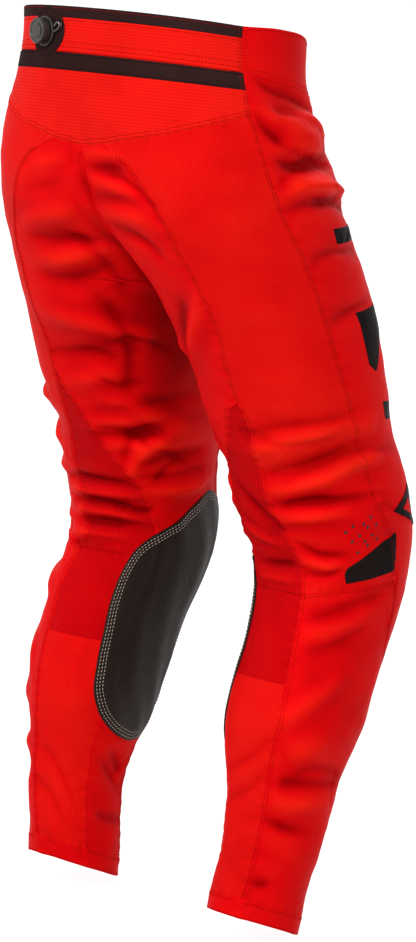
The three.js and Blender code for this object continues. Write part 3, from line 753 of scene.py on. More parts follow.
def clothMaterial(name, colour, darkToneAndShade, lightToneAndHighlight, ribs=None, gloss=0.45, sheen=0.02, bump=0.3, weave=0.55,
                  lustre=0.08):
    material, tree, shader = startMaterial(name)
    place3 = addNode(tree, "ShaderNodeTexCoord")
    flat = addNode(tree, "ShaderNodeUVMap", uv_map="cloth")
    shade = addNode(tree, "ShaderNodeAttribute", attribute_name="ridge")
    broad = addNode(tree, "ShaderNodeTexNoise", {"Vector": place3.outputs["Object"]}, Scale=9.0, Detail=5.0)
    fine = addNode(tree, "ShaderNodeTexNoise", {"Vector": place3.outputs["Object"]}, Scale=900.0,
                   Detail=2.0)
    mottled = addNode(tree, "ShaderNodeMapRange", {"Value": broad.outputs["Fac"]}, From_Min=0.3,
                      From_Max=0.7,
                      To_Min=-0.10, To_Max=0.10)
    folded = addNode(tree, "ShaderNodeMath", {0: shade.outputs["Fac"], 1: mottled.outputs["Result"]},
                     operation="ADD")
    # the ridge attribute plus noise picks the colour: low values (fold valleys, crotch) take the darker
    # painted-shade red, high values (fold ridges) the lighter painted-highlight red; the noise alone adds
    # random tone
    ramp = addNode(tree, "ShaderNodeValToRGB", {"Fac": folded.outputs[0]})
    ramp.color_ramp.elements[0].position = 0.12
    ramp.color_ramp.elements[0].color = linear(darkToneAndShade)
    ramp.color_ramp.elements[1].position = 0.5
    ramp.color_ramp.elements[1].color = linear(colour)
    last = ramp.color_ramp.elements.new(0.92)
    last.color = linear(lightToneAndHighlight)
    threads = addNode(tree, "ShaderNodeMapping", {"Vector": flat.outputs["UV"]},
                      Scale=(1000 / weave, 1000 / weave, 1))
    across = addNode(tree, "ShaderNodeTexWave", {"Vector": threads.outputs["Vector"]}, bands_direction="X",
                     Scale=0.314, Distortion=0.8)
    down = addNode(tree, "ShaderNodeTexWave", {"Vector": threads.outputs["Vector"]}, bands_direction="Y",
                   Scale=0.314, Distortion=0.8)
    weaving = addNode(tree, "ShaderNodeMath", {0: across.outputs["Fac"], 1: down.outputs["Fac"]},
                      operation="MULTIPLY")
    height = addNode(tree, "ShaderNodeMath", {0: weaving.outputs[0], 1: fine.outputs["Fac"]},
                     operation="ADD").outputs[0]
    colourOut = ramp.outputs["Color"]
    if ribs:
        pitch, way, depth, tintShare = ribs
        ribSpace = addNode(tree, "ShaderNodeMapping", {"Vector": flat.outputs["UV"]},
                           Scale=(1000 / pitch, 1000 / pitch, 1))
        rib = addNode(tree, "ShaderNodeTexWave", {"Vector": ribSpace.outputs["Vector"]},
                      bands_direction=way,
                      Scale=0.314, Distortion=0.25)
        deeper = addNode(tree, "ShaderNodeMath", {0: rib.outputs["Fac"]}, operation="MULTIPLY", in1=depth)
        height = addNode(tree, "ShaderNodeMath", {0: height, 1: deeper.outputs[0]},
                         operation="ADD").outputs[0]
        # the rib grooves are painted darker: painted shade in the grooves
        share = addNode(tree, "ShaderNodeMapRange", {"Value": rib.outputs["Fac"]}, To_Min=tintShare,
                        To_Max=0.0)
        lined = addNode(tree, "ShaderNodeMix", {"Factor": share.outputs["Result"]}, data_type="RGBA",
                        in7=linear(darkToneAndShade))
        tree.links.new(colourOut, lined.inputs[6])
        colourOut = lined.outputs[2]
    tree.links.new(colourOut, shader.inputs["Base Color"])
    raised = addNode(tree, "ShaderNodeBump", {"Height": height}, Strength=bump, Distance=0.0003)
    tree.links.new(raised.outputs["Normal"], shader.inputs["Normal"])
    rough = addNode(tree, "ShaderNodeMapRange", {"Value": broad.outputs["Fac"]}, To_Min=gloss - 0.04,
                    To_Max=gloss + 0.08)
    tree.links.new(rough.outputs["Result"], shader.inputs["Roughness"])
    shader.inputs["IOR"].default_value = 1.07
    shader.inputs["Specular IOR Level"].default_value = 0.5
    shader.inputs["Specular Tint"].default_value = linear(lightToneAndHighlight)
    shader.inputs["Metallic"].default_value = lustre
    shader.inputs["Sheen Weight"].default_value = sheen
    shader.inputs["Sheen Roughness"].default_value = 0.45
    shader.inputs["Sheen Tint"].default_value = linear(lightToneAndHighlight)
    return material


def hardMaterial(name, colour, edge, gloss, metal=0.0, grain=600.0, bump=0.15, coat=0.0):
    material, tree, shader = startMaterial(name)
    place3 = addNode(tree, "ShaderNodeTexCoord")
    grit = addNode(tree, "ShaderNodeTexNoise", {"Vector": place3.outputs["Object"]}, Scale=grain,
                   Detail=3.0)
    smear = addNode(tree, "ShaderNodeTexNoise", {"Vector": place3.outputs["Object"]}, Scale=70.0,
                    Detail=4.0)
    mixed = addNode(tree, "ShaderNodeMix", {"Factor": smear.outputs["Fac"]}, data_type="RGBA",
                    in6=linear(colour),
                    in7=linear(edge))
    tree.links.new(mixed.outputs[2], shader.inputs["Base Color"])
    raised = addNode(tree, "ShaderNodeBump", {"Height": grit.outputs["Fac"]}, Strength=bump,
                     Distance=0.0002)
    tree.links.new(raised.outputs["Normal"], shader.inputs["Normal"])
    rough = addNode(tree, "ShaderNodeMapRange", {"Value": smear.outputs["Fac"]}, To_Min=gloss - 0.06,
                    To_Max=gloss + 0.10)
    tree.links.new(rough.outputs["Result"], shader.inputs["Roughness"])
    shader.inputs["Metallic"].default_value = metal
    shader.inputs["Coat Weight"].default_value = coat
    return material


def leatherMaterial(name):
    material, tree, shader = startMaterial(name)
    place3 = addNode(tree, "ShaderNodeTexCoord")
    grain = addNode(tree, "ShaderNodeTexVoronoi", {"Vector": place3.outputs["Object"]}, Scale=620.0,
                    feature="DISTANCE_TO_EDGE")
    pores = addNode(tree, "ShaderNodeTexNoise", {"Vector": place3.outputs["Object"]}, Scale=1500.0,
                    Detail=3.0)
    broad = addNode(tree, "ShaderNodeTexNoise", {"Vector": place3.outputs["Object"]}, Scale=22.0,
                    Detail=6.0, Roughness=0.6)
    creased = addNode(tree, "ShaderNodeTexNoise", {"Vector": place3.outputs["Object"]}, Scale=95.0,
                      Detail=4.0,
                      Distortion=1.4)
    shade = addNode(tree, "ShaderNodeMix", {"Factor": broad.outputs["Fac"]}, data_type="RGBA",
                    in6=linear("#0b0605"),
                    in7=linear("#1d1412"))
    tree.links.new(shade.outputs[2], shader.inputs["Base Color"])
    first = addNode(tree, "ShaderNodeMath", {0: grain.outputs["Distance"], 1: pores.outputs["Fac"]},
                    operation="ADD")
    second = addNode(tree, "ShaderNodeMath", {0: creased.outputs["Fac"]}, operation="MULTIPLY", in1=3.2)
    height = addNode(tree, "ShaderNodeMath", {0: first.outputs[0], 1: second.outputs[0]}, operation="ADD")
    raised = addNode(tree, "ShaderNodeBump", {"Height": height.outputs[0]}, Strength=0.42, Distance=0.0006)
    tree.links.new(raised.outputs["Normal"], shader.inputs["Normal"])
    rough = addNode(tree, "ShaderNodeMapRange", {"Value": broad.outputs["Fac"]}, To_Min=0.44, To_Max=0.66)
    tree.links.new(rough.outputs["Result"], shader.inputs["Roughness"])
    shader.inputs["IOR"].default_value = 1.26
    shader.inputs["Specular IOR Level"].default_value = 0.5
    shader.inputs["Specular Tint"].default_value = linear("#ffe2d4")
    return material


satinRed = clothMaterial("red polyester satin", "#e0090e", "#9c0005", "#f42012", gloss=0.42, lustre=0.16)
ripstopRed = clothMaterial("red ribbed ripstop nylon", "#ea1210", "#b00406", "#fa2616",
                           ribs=(2.8, "X", 0.9, 0.34), gloss=0.46)
stretchRed = clothMaterial("red ribbed stretch knit", "#d2070e", "#8c0006", "#ea1212",
                           ribs=(2.8, "X", 1.5, 0.5), gloss=0.5)
bandRed = clothMaterial("red ribbed waistband weave", "#ee1c14", "#b20806", "#fa2a1a",
                        ribs=(3.0, "Y", 1.0, 0.32), gloss=0.5)
elasticBlack = clothMaterial("black woven elastic", "#33201f", "#170d0d", "#54393a",
                             ribs=(1.5, "Y", 1.3, 0.5), gloss=0.62,
                             sheen=0.1, lustre=0.25)
printBlack = clothMaterial("black heat-pressed film", "#1f1817", "#120d0d", "#3a302e", gloss=0.34,
                           sheen=0.0, bump=0.12,
                           lustre=0.4)
threadRed = clothMaterial("red polyester thread", "#d8150e", "#a00506", "#ff3a2a", gloss=0.45, sheen=0.2)
threadCream = clothMaterial("cream bonded nylon thread", "#f4ecdd", "#c8bdac", "#fffaf0", gloss=0.4,
                            sheen=0.2, lustre=0.0)
threadBlack = clothMaterial("black polyester thread", "#2a1e1d", "#140d0d", "#4a3836", gloss=0.5, sheen=0.2,
                            lustre=0.3)
liningBlack = clothMaterial("black lining mesh", "#241b1c", "#100b0c", "#3a2e2f", gloss=0.7, lustre=0.2,
                            weave=1.2)
suedeLeather = leatherMaterial("black full-grain leather")
knobPlastic = hardMaterial("black glass-filled nylon", "#191414", "#2c2422", 0.40, bump=0.3)
capPlastic = hardMaterial("black soft-touch rubber", "#241c1a", "#382d2a", 0.62, bump=0.35)
laceSteel = hardMaterial("coated braided steel lace", "#5d5856", "#8b8683", 0.32, metal=0.85, grain=2400.0,
                         bump=0.7)
zincPlate = hardMaterial("nickel-plated zinc", "#6b6866", "#a19d99", 0.28, metal=1.0, grain=300.0,
                         bump=0.08)
gripSilicone = hardMaterial("clear grip silicone", "#b01818", "#d83a34", 0.3, grain=200.0, bump=0.1,
                            coat=0.4)
holePaintedShade = hardMaterial("near-black painted shade in punched holes", "#0c0303", "#180606", 0.8, bump=0.3)
print("materials mixed")


def dress(piece, material, body=None, blendWith=None, stands=()):
    piece.data.materials.append(material)
    if blendWith:
        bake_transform(piece)
    else:
        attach(piece, body)
    if stands:
        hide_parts(*stands)
    return piece


def hipBlend(side):
    thigh = "left_thigh" if side > 0 else "right_thigh"
    return ("waist_and_seat", thigh, (side * 0.150, 0, -0.150), (side * 0.231, 0, -0.231))


def kneeBlend(side):
    word = "left" if side > 0 else "right"
    return (word + "_thigh", word + "_shin", (0, 0, -0.500), (0, 0, -0.640))


# Waist: four bands across the back, then the front pieces
fly = {"halfGap": 7.0, "end": 171.0, "closed": 188.0, "zipTop": 65.0}
seat = "waist_and_seat"
yokeBottom = line(yokeEdge)
kneeEdge = line(kneeTop)
shinEdge = line(shinTop)
dress(sewBand("elasticTop", line(sideSeam), belowTop(0), belowTop(waistband["elastic"]), lift=0.3,
              thickness=1.9),
      elasticBlack, seat, stands=["elastic_top"])
dress(sewBand("waistbandRear", line(sideSeam), belowTop(waistband["elastic"]), level(waistband["bottom"])),
      bandRed, seat, stands=["waistband_rear"])
dress(sewBand("yokeStripe", line(sideSeam), level(waistband["stripeTop"] - 0.6),
              level(waistband["stripeBottom"] + 0.6), lift=0.25),
      elasticBlack, seat, stands=["yoke_stripe"])
dress(sewBand("yokePanel", line(sideSeam), level(waistband["stripeBottom"] + 0.6), yokeBottom),
      bandRed, seat, stands=["yoke"])
print("waist sewn")


def frontMiddle(drops):
    low = follow(inseam, np.maximum(drops, crotchDrop)) - 360
    return np.where(drops < crotchDrop, -middleAngle(drops), low)


def rearMiddle(drops):
    low = follow(inseam, np.maximum(drops, crotchDrop))
    return np.where(drops < crotchDrop, middleAngle(drops), low)


def frontOpening(drops):
    # edge of the cloth beside the zip, closing to the middle line below it
    wanted = fly["halfGap"] * (1 - smoothRise(drops, fly["end"], fly["closed"]))
    q = (wanted - bend(sectionDrop, centreX, drops)) / bend(sectionDrop, halfWidth, drops)
    c = np.sign(q) * np.abs(q) ** (roundness / 2)
    edge = -np.degrees(np.arccos(np.clip(c, -1, 1)))
    return np.where(drops < fly["closed"], edge, frontMiddle(drops))


split = fabric["split"]
columnsAt = {"front": 56, "rear": 40, "inner": 54}
for side in (1, -1):
    w = "left" if side > 0 else "right"
    rear, stretch, sideLine, inner = seamLines(side)
    innerFront = line(inseam, -360)
    seatEdge = lambda drops, rear=rear, stretch=stretch: np.where(drops < 396, rear(drops), stretch(drops))
    hips, knees, shin = hipBlend(side), kneeBlend(side), w + "_shin"
    noFoot, noHead = ("first", "last", "top"), ("first", "last", "bottom")
    dress(sewPanel("waistbandFront_" + w, side, frontOpening, sideLine, belowTop(0),
                   level(waistband["bottom"])),
          satinRed, seat, stands=["waistband_front_" + w])
    dress(sewPanel("seatPanel_" + w, side, seatEdge, rearMiddle, yokeBottom, level(split), noFoot,
                   columns=columnsAt["inner"]),
          satinRed, blendWith=hips, stands=["seat_" + w, "thigh_inner_" + w, "hip_flex_" + w])
    dress(sewPanel("rearThigh_" + w, side, sideLine, rear, yokeBottom, level(split), noFoot,
                   columns=columnsAt["rear"]),
          ripstopRed, blendWith=hips, stands=["hip_rear_" + w, "thigh_rear_" + w])
    dress(sewPanel("frontThigh_" + w, side, frontOpening, sideLine, level(waistband["bottom"]),
                   level(split), noFoot,
                   columns=columnsAt["front"]),
          satinRed, blendWith=hips, stands=["hip_front_" + w, "thigh_front_" + w])
    # from the lower thigh down
    dress(sewPanel("outerKnee_" + w, side, sideLine, rear, level(split), shinEdge, noHead,
                   columns=columnsAt["rear"]),
          satinRed, blendWith=knees)
    print("hips sewn", w)
    dress(sewPanel("stretchWedge_" + w, side, rear, stretch, level(397), level(split),
                   ("first", "last", "top"), columns=24, edge=0.5),
          stretchRed, blendWith=hips)
    dress(sewPanel("kneeBack_" + w, side, rear, stretch, level(split), level(620), noHead, columns=24),
          stretchRed, blendWith=knees, stands=["knee_back_" + w])
    dress(sewPanel("innerKnee_" + w, side, stretch, inner, level(split), level(600), noHead,
                   columns=columnsAt["inner"]),
          satinRed, blendWith=knees)
    dress(sewPanel("frontKnee_" + w, side, innerFront, sideLine, level(split), kneeEdge, noHead,
                   columns=columnsAt["front"]),
          satinRed, blendWith=knees)
    dress(sewPanel("kneeCup_" + w, side, innerFront, sideLine, kneeEdge,
                   shinEdge, lift=0.2),
          satinRed, blendWith=knees, stands=["knee_cup_" + w, "knee_outer_" + w])
    dress(sewPanel("shinOuter_" + w, side, innerFront, rear, shinEdge, level(942)),
          satinRed, blendWith=knees, stands=["shin_outer_" + w])
    dress(sewPanel("shinInner_" + w, side, stretch, inner, level(600), level(942)),
          satinRed, blendWith=knees, stands=["shin_inner_" + w])
    dress(sewPanel("calfRib_" + w, side, rear, stretch, level(620), level(ribEnd), ("first", "last", "top"),
                   columns=44),
          stretchRed, blendWith=knees, stands=["calf_rib_" + w])
    dress(sewPanel("calfPanel_" + w, side, rear, stretch, level(ribEnd), level(942), noHead, columns=44),
          ripstopRed, shin, stands=["calf_" + w])
    dress(sewPanel("cuffBand_" + w, side, innerFront, inner, level(942), level(hem["drop"]), lift=0.35,
                   thickness=2.4),
          satinRed, shin, stands=["cuff_" + w])
    print("legs sewn", w)

# Topstitching
two = (1.7, 5.0)
for side in (1, -1):
    w = "left" if side > 0 else "right"
    rear, stretch, sideLine, inner = seamLines(side)
    back = [-d for d in two]
    upper = seamRows(side, sideLine, 64, split, two) + seamRows(side, rear, 152, split, back)
    upper += seamRows(side, stretch, 402, split, two)
    upper += crossRows(side, yokeBottom, 24, float(middleAngle(146)) - 0.5, back)
    if side > 0:
        upper += seamRows(side, middleAngle, 152, 284, back)
    upper += seamRows(side, inner, 300, split, back)
    lower = seamRows(side, sideLine, split + 1, 594, two) + seamRows(side, rear, split + 1, 941, back)
    lower += seamRows(side, stretch, split + 1, 588, two) + seamRows(side, stretch, 812, 941, two[:1])
    lower += seamRows(side, inner, split + 1, 941, back)
    lower += crossRows(side, kneeEdge, -140, -1, back)
    lower += crossRows(side, shinEdge, -140, float(rear(612)), two)
    lower += crossRows(side, level(620), float(rear(620)) + 1, float(stretch(620)), back[:1])
    dress(sewThread("seamThreadUpper_" + w, upper), threadRed, blendWith=hipBlend(side))
    dress(sewThread("seamThreadLower_" + w, lower), threadRed,
          blendWith=kneeBlend(side))
    hemRows = [zigzagRow(side, 945, -142, 218), rowOnCloth(side, np.full(200, 960.3),
                                                           np.linspace(-142, 218, 200), 0.35)]
    dress(sewThread("hemThread_" + w, hemRows, 0.3), threadRed, w + "_shin")
    waistRows = []
    top = float(middleAngle(40))
    for edge in (belowTop(14.2), level(52.0), level(56.5)):
        waistRows += crossRows(side, edge, 23, top, (0,))
    waistRows += seamRows(side, sideLine, 19, 62, (1.7, 5.0, -1.7, -5.0))
    front = float(frontOpening(40.0)) + 1
    for edge in (belowTop(2.6), level(57.6), level(63.8)):
        waistRows += crossRows(side, edge, front, 20, (0,))
    dress(sewThread("waistThread_" + w, waistRows, 0.3), threadRed, seat)
    topRow = crossRows(side, belowTop(2.2), 23, top, (0,), 0.3)
    dress(sewThread("elasticThread_" + w, topRow, 0.28), threadRed, seat)
    stripeRows = crossRows(side, level(63.6), 23, top, (0,), 0.3) + crossRows(side, level(76.6), 23, top,
                                                                              (0,), 0.3)
    dress(sewThread("stripeThread_" + w, stripeRows, 0.26), threadBlack, seat)
print("topstitching done")


def openForEditing(piece):
    bpy.ops.object.select_all(action="DESELECT")
    piece.select_set(True)
    bpy.context.view_layer.objects.active = piece
    bpy.ops.object.mode_set(mode="EDIT")
    bpy.ops.mesh.select_all(action="SELECT")


# Leather guards on the inner side of knee and shin
leather = {"lift": 1.9, "rows": (3.2, 6.4, 9.6), "middle": 187.0}


def patchOutline(inset):
    # closed outline in millimetres around the patch's middle, moved inwards
    drops = 680 - 134 * np.cos(np.linspace(0.0, np.pi, 160))
    back = np.stack([(bend(patchBack[0], patchBack[1], drops) - leather["middle"]) * mmPerDegree(drops),
                     drops], -1)
    front = np.stack([(bend(patchFront[0], patchFront[1], drops) - leather["middle"]) * mmPerDegree(drops),
                      drops], -1)
    loop = np.concatenate([back, front[::-1]])
    for _ in range(3):
        steps = np.linalg.norm(np.diff(np.vstack([loop, loop[:1]]), axis=0), axis=1)
        run = np.concatenate([[0], np.cumsum(steps)])
        where = np.linspace(0, run[-1], 361)[:-1]
        closed = np.vstack([loop, loop[:1]])
        loop = np.stack([np.interp(where, run, closed[:, k]) for k in (0, 1)], -1)
        loop = (np.roll(loop, 2, 0) + np.roll(loop, 1, 0) + loop + np.roll(loop, -1,
                                                                           0) + np.roll(loop, -2, 0)) / 5
    way = np.roll(loop, -1, 0) - np.roll(loop, 1, 0)
    way /= np.linalg.norm(way, axis=1, keepdims=True)
    turn = np.stack([-way[:, 1], way[:, 0]], -1)
    centre = loop.mean(0)
    if np.sum((centre - loop) * turn) < 0:
        turn = -turn
    loop = loop + turn * inset
    return loop[:, 1], leather["middle"] + loop[:, 0] / mmPerDegree(loop[:, 1])


def leatherRise(drops, angles, side):
    p = place(side, drops, angles)
    drag = np.sin(angles * mmPerDegree(drops) * 0.21 + 0.9 * np.sin(drops * 0.021) + 1.2)
    return leather["lift"] + 0.45 * waves(p, 40 + side, 45, 90, 6) + 0.35 * creases(p, 60 + side, 26, 60,
                                                                                    4) + 0.5 * drag


for side in (1, -1):
    w = "left" if side > 0 else "right"
    # rings from the outline inwards, so that the edge follows it
    shares = np.concatenate([[0, 0.006, 0.018], np.linspace(0.045, 1, 30)])
    drops, angles = patchOutline(0.0)
    centreDrop = np.clip(drops, 600, 765)
    centreAngle = 0.5 * (bend(patchBack[0], patchBack[1], centreDrop) + bend(patchFront[0], patchFront[1],
                                                                             centreDrop))
    gridDrops = drops[None] + (centreDrop - drops)[None] * shares[:, None]
    gridAngles = angles[None] + (centreAngle - angles)[None] * shares[:, None]
    rise = leatherRise(gridDrops, gridAngles, side) - 0.9 * np.array([1, 0.45, 0.12] + [0] * 30)[:, None]
    top = cloth(side, gridDrops, gridAngles, rise)
    n = outward(side, gridDrops, gridAngles)
    under = top - n * (rise - 0.15)[..., None]
    rings, columns = gridDrops.shape
    vertices = np.concatenate([top.reshape(-1, 3), under.reshape(-1, 3)])
    faces = []
    count = rings * columns
    for r in range(rings - 1):
        for k in range(columns):
            a, b = r * columns + k, r * columns + (k + 1) % columns
            faces.append((a, b, b + columns, a + columns))
            faces.append((count + a, count + a + columns, count + b + columns, count + b))
    for k in range(columns):
        b = (k + 1) % columns
        faces.append((b, k, count + k, count + b))
    piece = makePiece("leatherGuard_" + w, vertices, faces)
    openForEditing(piece)
    bpy.ops.mesh.remove_doubles(threshold=0.00002)
    bpy.ops.mesh.normals_make_consistent(inside=False)
    bpy.ops.object.mode_set(mode="OBJECT")
    piece.select_set(False)
    dress(piece, suedeLeather, blendWith=kneeBlend(side), stands=["leather_patch_" + w])
    rows = []
    for inset in leather["rows"]:
        d, a = patchOutline(inset)
        d, a = np.append(d, d[0]), np.append(a, a[0])
        lift = leatherRise(d, a, side) + 0.1
        rows.append(stitchRow(cloth(side, d, a, lift), outward(side, d, a), 2.6, 1.5))
    dress(sewThread("leatherThread_" + w, rows, 0.42), threadCream,
          blendWith=kneeBlend(side))
print("leather guards sewn")

# Pressed film: a wedge on the outer knee, plain bars and a triangle down the outer front
films = {
    "kneeWedge": [(541, -10), (586, -10), (600, 34), (589, 36), (581, 34), (561, 14)],
    "thighBar": [(214, -13), (214, -44), (231, -44), (231, -13)],
    "thighBlock": [(306, -13), (306, -50), (331, -44), (372, -20), (362, -13)],
    "lowerBar": [(404, -22), (410, -42), (428, -40), (424, -24)],
    "kneeTriangle": [(496, -38), (519, -9), (543, -44)],
}


def filmPiece(name, side, corners, lift=0.32):
    p = np.array(corners, float)
    rate = float(mmPerDegree(p[:, 0].mean()))
    p[:, 1] *= rate
    mesh = bpy.data.meshes.new(name)
    piece = bpy.data.objects.new(name, mesh)
    bpy.context.scene.collection.objects.link(piece)
    work = bmesh.new()
    ring = [work.verts.new((a / 1000, -d / 1000, 0)) for d, a in p]
    work.faces.new(ring)
    work.to_mesh(mesh)
    work.free()
    openForEditing(piece)
    bpy.ops.mesh.bevel(offset=0.0016, segments=3, affect="VERTICES")
    bpy.ops.mesh.select_all(action="SELECT")
    bpy.ops.mesh.inset(thickness=0.0005, use_even_offset=True)
    bpy.ops.mesh.select_all(action="SELECT")
    bpy.ops.mesh.quads_convert_to_tris()
    bpy.ops.object.mode_set(mode="OBJECT")
    work = bmesh.new()
    work.from_mesh(mesh)
    for _ in range(6):    # short edges, so that the film lies on the folds
        longOnes = [e for e in work.edges if e.calc_length() > 0.0036]
        if not longOnes:
            break
        bmesh.ops.subdivide_edges(work, edges=longOnes, cuts=1)
        bmesh.ops.triangulate(work, faces=work.faces)
    edge = [v.is_boundary for v in work.verts]
    flat = np.array([(v.co.x, v.co.y) for v in work.verts]) * 1000
    drops, angles = -flat[:, 1], flat[:, 0] / rate
    height = lift - 0.22 * np.array(edge)
    places = cloth(side, drops, angles, height)
    for v, place3 in zip(work.verts, places):
        v.co = place3 / 1000
    uvLayer = work.loops.layers.uv.new("cloth")
    for face in work.faces:
        for loop in face.loops:
            loop[uvLayer].uv = flat[loop.vert.index] / 1000
    if side < 0:
        bmesh.ops.reverse_faces(work, faces=work.faces)
    work.to_mesh(mesh)
    work.free()
    solidify = piece.modifiers.new("film", "SOLIDIFY")
    solidify.thickness = 0.0004
    solidify.offset = -1
    bpy.context.view_layer.objects.active = piece
    bpy.ops.object.modifier_apply(modifier="film")
    mesh.polygons.foreach_set("use_smooth", [True] * len(mesh.polygons))
    shade = mesh.attributes.new("ridge", "FLOAT", "POINT")
    shade.data.foreach_set("value", [0.5] * len(mesh.vertices))
    piece.select_set(False)
    return piece


for side in (1, -1):
    w = "left" if side > 0 else "right"
    for name, corners in films.items():
        lower = corners[0][0] > 480
        dress(filmPiece(name + "_" + w, side, corners), printBlack,
              blendWith=kneeBlend(side) if lower else hipBlend(side),
              stands=["knee_wedge_" + w] if name == "kneeWedge" else [])
    dress(filmPiece("triangleCore_" + w, side, [(510, -33), (519, -21), (529, -36)], lift=0.62), satinRed,
          blendWith=kneeBlend(side))
print("film pressed")

# Punched air holes above the wedge: each is a shallow cup painted near-black, painted shade where the open
# hole is
holes = {"radius": 1.4, "places": [(521, 10), (530, 6), (528, 17), (530, 26), (532, 14), (537, 33),
                                   (541, 22), (541, 11),
                                    (542, -1), (548, 29), (548, 18), (546, 7), (553, 16), (561, 25)]}
for side in (1, -1):
    w = "left" if side > 0 else "right"
    vertices, faces = [], []
    for drop, angle in holes["places"]:
        centre = cloth(side, drop, angle, 0.25)
        n = outward(side, drop, angle)
        right = np.cross((0, 0, 1), n)
        right /= np.linalg.norm(right)
        up = np.cross(n, right)
        base = len(vertices)
        for radius, rise in ((holes["radius"] + 0.35, -0.15), (holes["radius"] + 0.15, 0.12),
                             (holes["radius"], -0.05), (0.3, -0.25)):
            for k in range(12):
                turn = 2 * math.pi * k / 12
                vertices.append(centre + right * radius * math.cos(turn)
                                + up * radius * math.sin(turn) + n * rise)
        vertices.append(centre - n * 0.8)
        for ring in range(3):
            for k in range(12):
                a, b = base + ring * 12 + k, base + ring * 12 + (k + 1) % 12
                faces.append((a, b, b + 12, a + 12))
        faces.append(tuple(base + 36 + k for k in range(12)))
        for k in range(12):
            faces.append((base + (k + 1) % 12, base + k, base + 48))
    piece = makePiece("airHoles_" + w, vertices, faces)
    dress(piece, holePaintedShade, blendWith=kneeBlend(side))
print("air holes punched")


# Hardware is modelled flat around its own centre, then set into its place
def frameFrom(right, up, out, origin):
    matrix = Matrix.Identity(4)
    for k, column in enumerate((right, up, out)):
        for row in range(3):
            matrix[row][k] = column[row]
    for row in range(3):
        matrix[row][3] = origin[row] / 1000
    return matrix


def frameAt(side, drop, angle, lift=0.0):
    n = outward(side, drop, angle)
    up = np.array((0, 0, 1.0)) - n * n[2]
    up /= np.linalg.norm(up)
    right = np.cross(up, n)
    origin = place(side, drop, angle) + n * lift
    return frameFrom(right, up, n, origin)


def active():
    return bpy.context.view_layer.objects.active


def setInPlace(piece, frameMatrix, name):
    bpy.ops.object.mode_set(mode="OBJECT")
    piece.data.transform(frameMatrix @ piece.matrix_world)
    piece.matrix_world = Matrix.Identity(4)
    piece.name = name
    piece.data.name = name
    piece.select_set(False)
    return piece


def selectFaces(piece, test):
    bpy.ops.object.mode_set(mode="EDIT")
    bpy.ops.mesh.select_mode(type="FACE")
    bpy.ops.mesh.select_all(action="DESELECT")
    bpy.ops.object.mode_set(mode="OBJECT")
    for face in piece.data.polygons:
        face.select = bool(test(face.center, face.normal))
    bpy.ops.object.mode_set(mode="EDIT")


def roundOff(piece, width, segments=3, angle=30):
    bevel = piece.modifiers.new("edges", "BEVEL")
    bevel.width = width
    bevel.segments = segments
    bevel.limit_method = "ANGLE"
    bevel.angle_limit = math.radians(angle)
    bpy.context.view_layer.objects.active = piece
    bpy.ops.object.modifier_apply(modifier="edges")
    bpy.ops.object.shade_smooth_by_angle(angle=math.radians(35))


def roundedPrism(sidesCount, radius, low, high, corner):
    bpy.ops.object.select_all(action="DESELECT")
    bpy.ops.mesh.primitive_cylinder_add(vertices=sidesCount, radius=radius, depth=high - low,
                                        location=(0, 0, (low + high) / 2))
    piece = active()
    bpy.ops.object.transform_apply(location=True)
    bpy.ops.object.mode_set(mode="EDIT")
    bpy.ops.mesh.select_mode(type="EDGE")
    bpy.ops.mesh.select_all(action="DESELECT")
    bpy.ops.object.mode_set(mode="OBJECT")
    points = piece.data.vertices
    for edge in piece.data.edges:
        a, b = (points[k].co for k in edge.vertices)
        edge.select = abs(a.z - b.z) > 1e-5
    bpy.ops.object.mode_set(mode="EDIT")
    bpy.ops.mesh.bevel(offset=corner, segments=6, profile=0.5)
    bpy.ops.object.mode_set(mode="OBJECT")
    return piece


def joinCopies(source, offsets):
    mesh = source.data.copy()
    bpy.data.objects.remove(source)
    copies = []
    for offset in offsets:
        piece = bpy.data.objects.new("copy", mesh.copy())
        bpy.context.scene.collection.objects.link(piece)
        piece.data.transform(Matrix.Translation(offset))
        copies.append(piece)
    bpy.ops.object.select_all(action="DESELECT")
    for piece in copies:
        piece.select_set(True)
    bpy.context.view_layer.objects.active = copies[0]
    bpy.ops.object.join()
    bpy.ops.object.shade_smooth_by_angle(angle=math.radians(35))
    return active()


dial = {"drop": 42.5, "angle": 70, "radius": 0.0138, "low": 0.0058, "high": 0.0148, "ribs": 24}
dialFrame = frameAt(1, dial["drop"], dial["angle"])

# knob: a rounded six-sided grip with a dished top
knob = roundedPrism(6, dial["radius"] * 1.06, dial["low"], dial["high"], 0.0052)
selectFaces(knob, lambda c, n: n.z > 0.9)
bpy.ops.mesh.inset(thickness=0.0016, use_even_offset=True)
bpy.ops.transform.translate(value=(0, 0, 0.0005))
bpy.ops.mesh.inset(thickness=0.0011, use_even_offset=True)
bpy.ops.transform.translate(value=(0, 0, -0.0013))
bpy.ops.mesh.inset(thickness=0.0009, use_even_offset=True)
selectFaces(knob, lambda c, n: n.z < -0.9)
bpy.ops.mesh.inset(thickness=0.0012, use_even_offset=True)
bpy.ops.transform.translate(value=(0, 0, 0.0012))
bpy.ops.object.mode_set(mode="OBJECT")
roundOff(knob, 0.0006, 3, 28)
dress(setInPlace(knob, dialFrame, "dialKnobGrip"), knobPlastic, "dial_grip",
      stands=["dial_knob"])

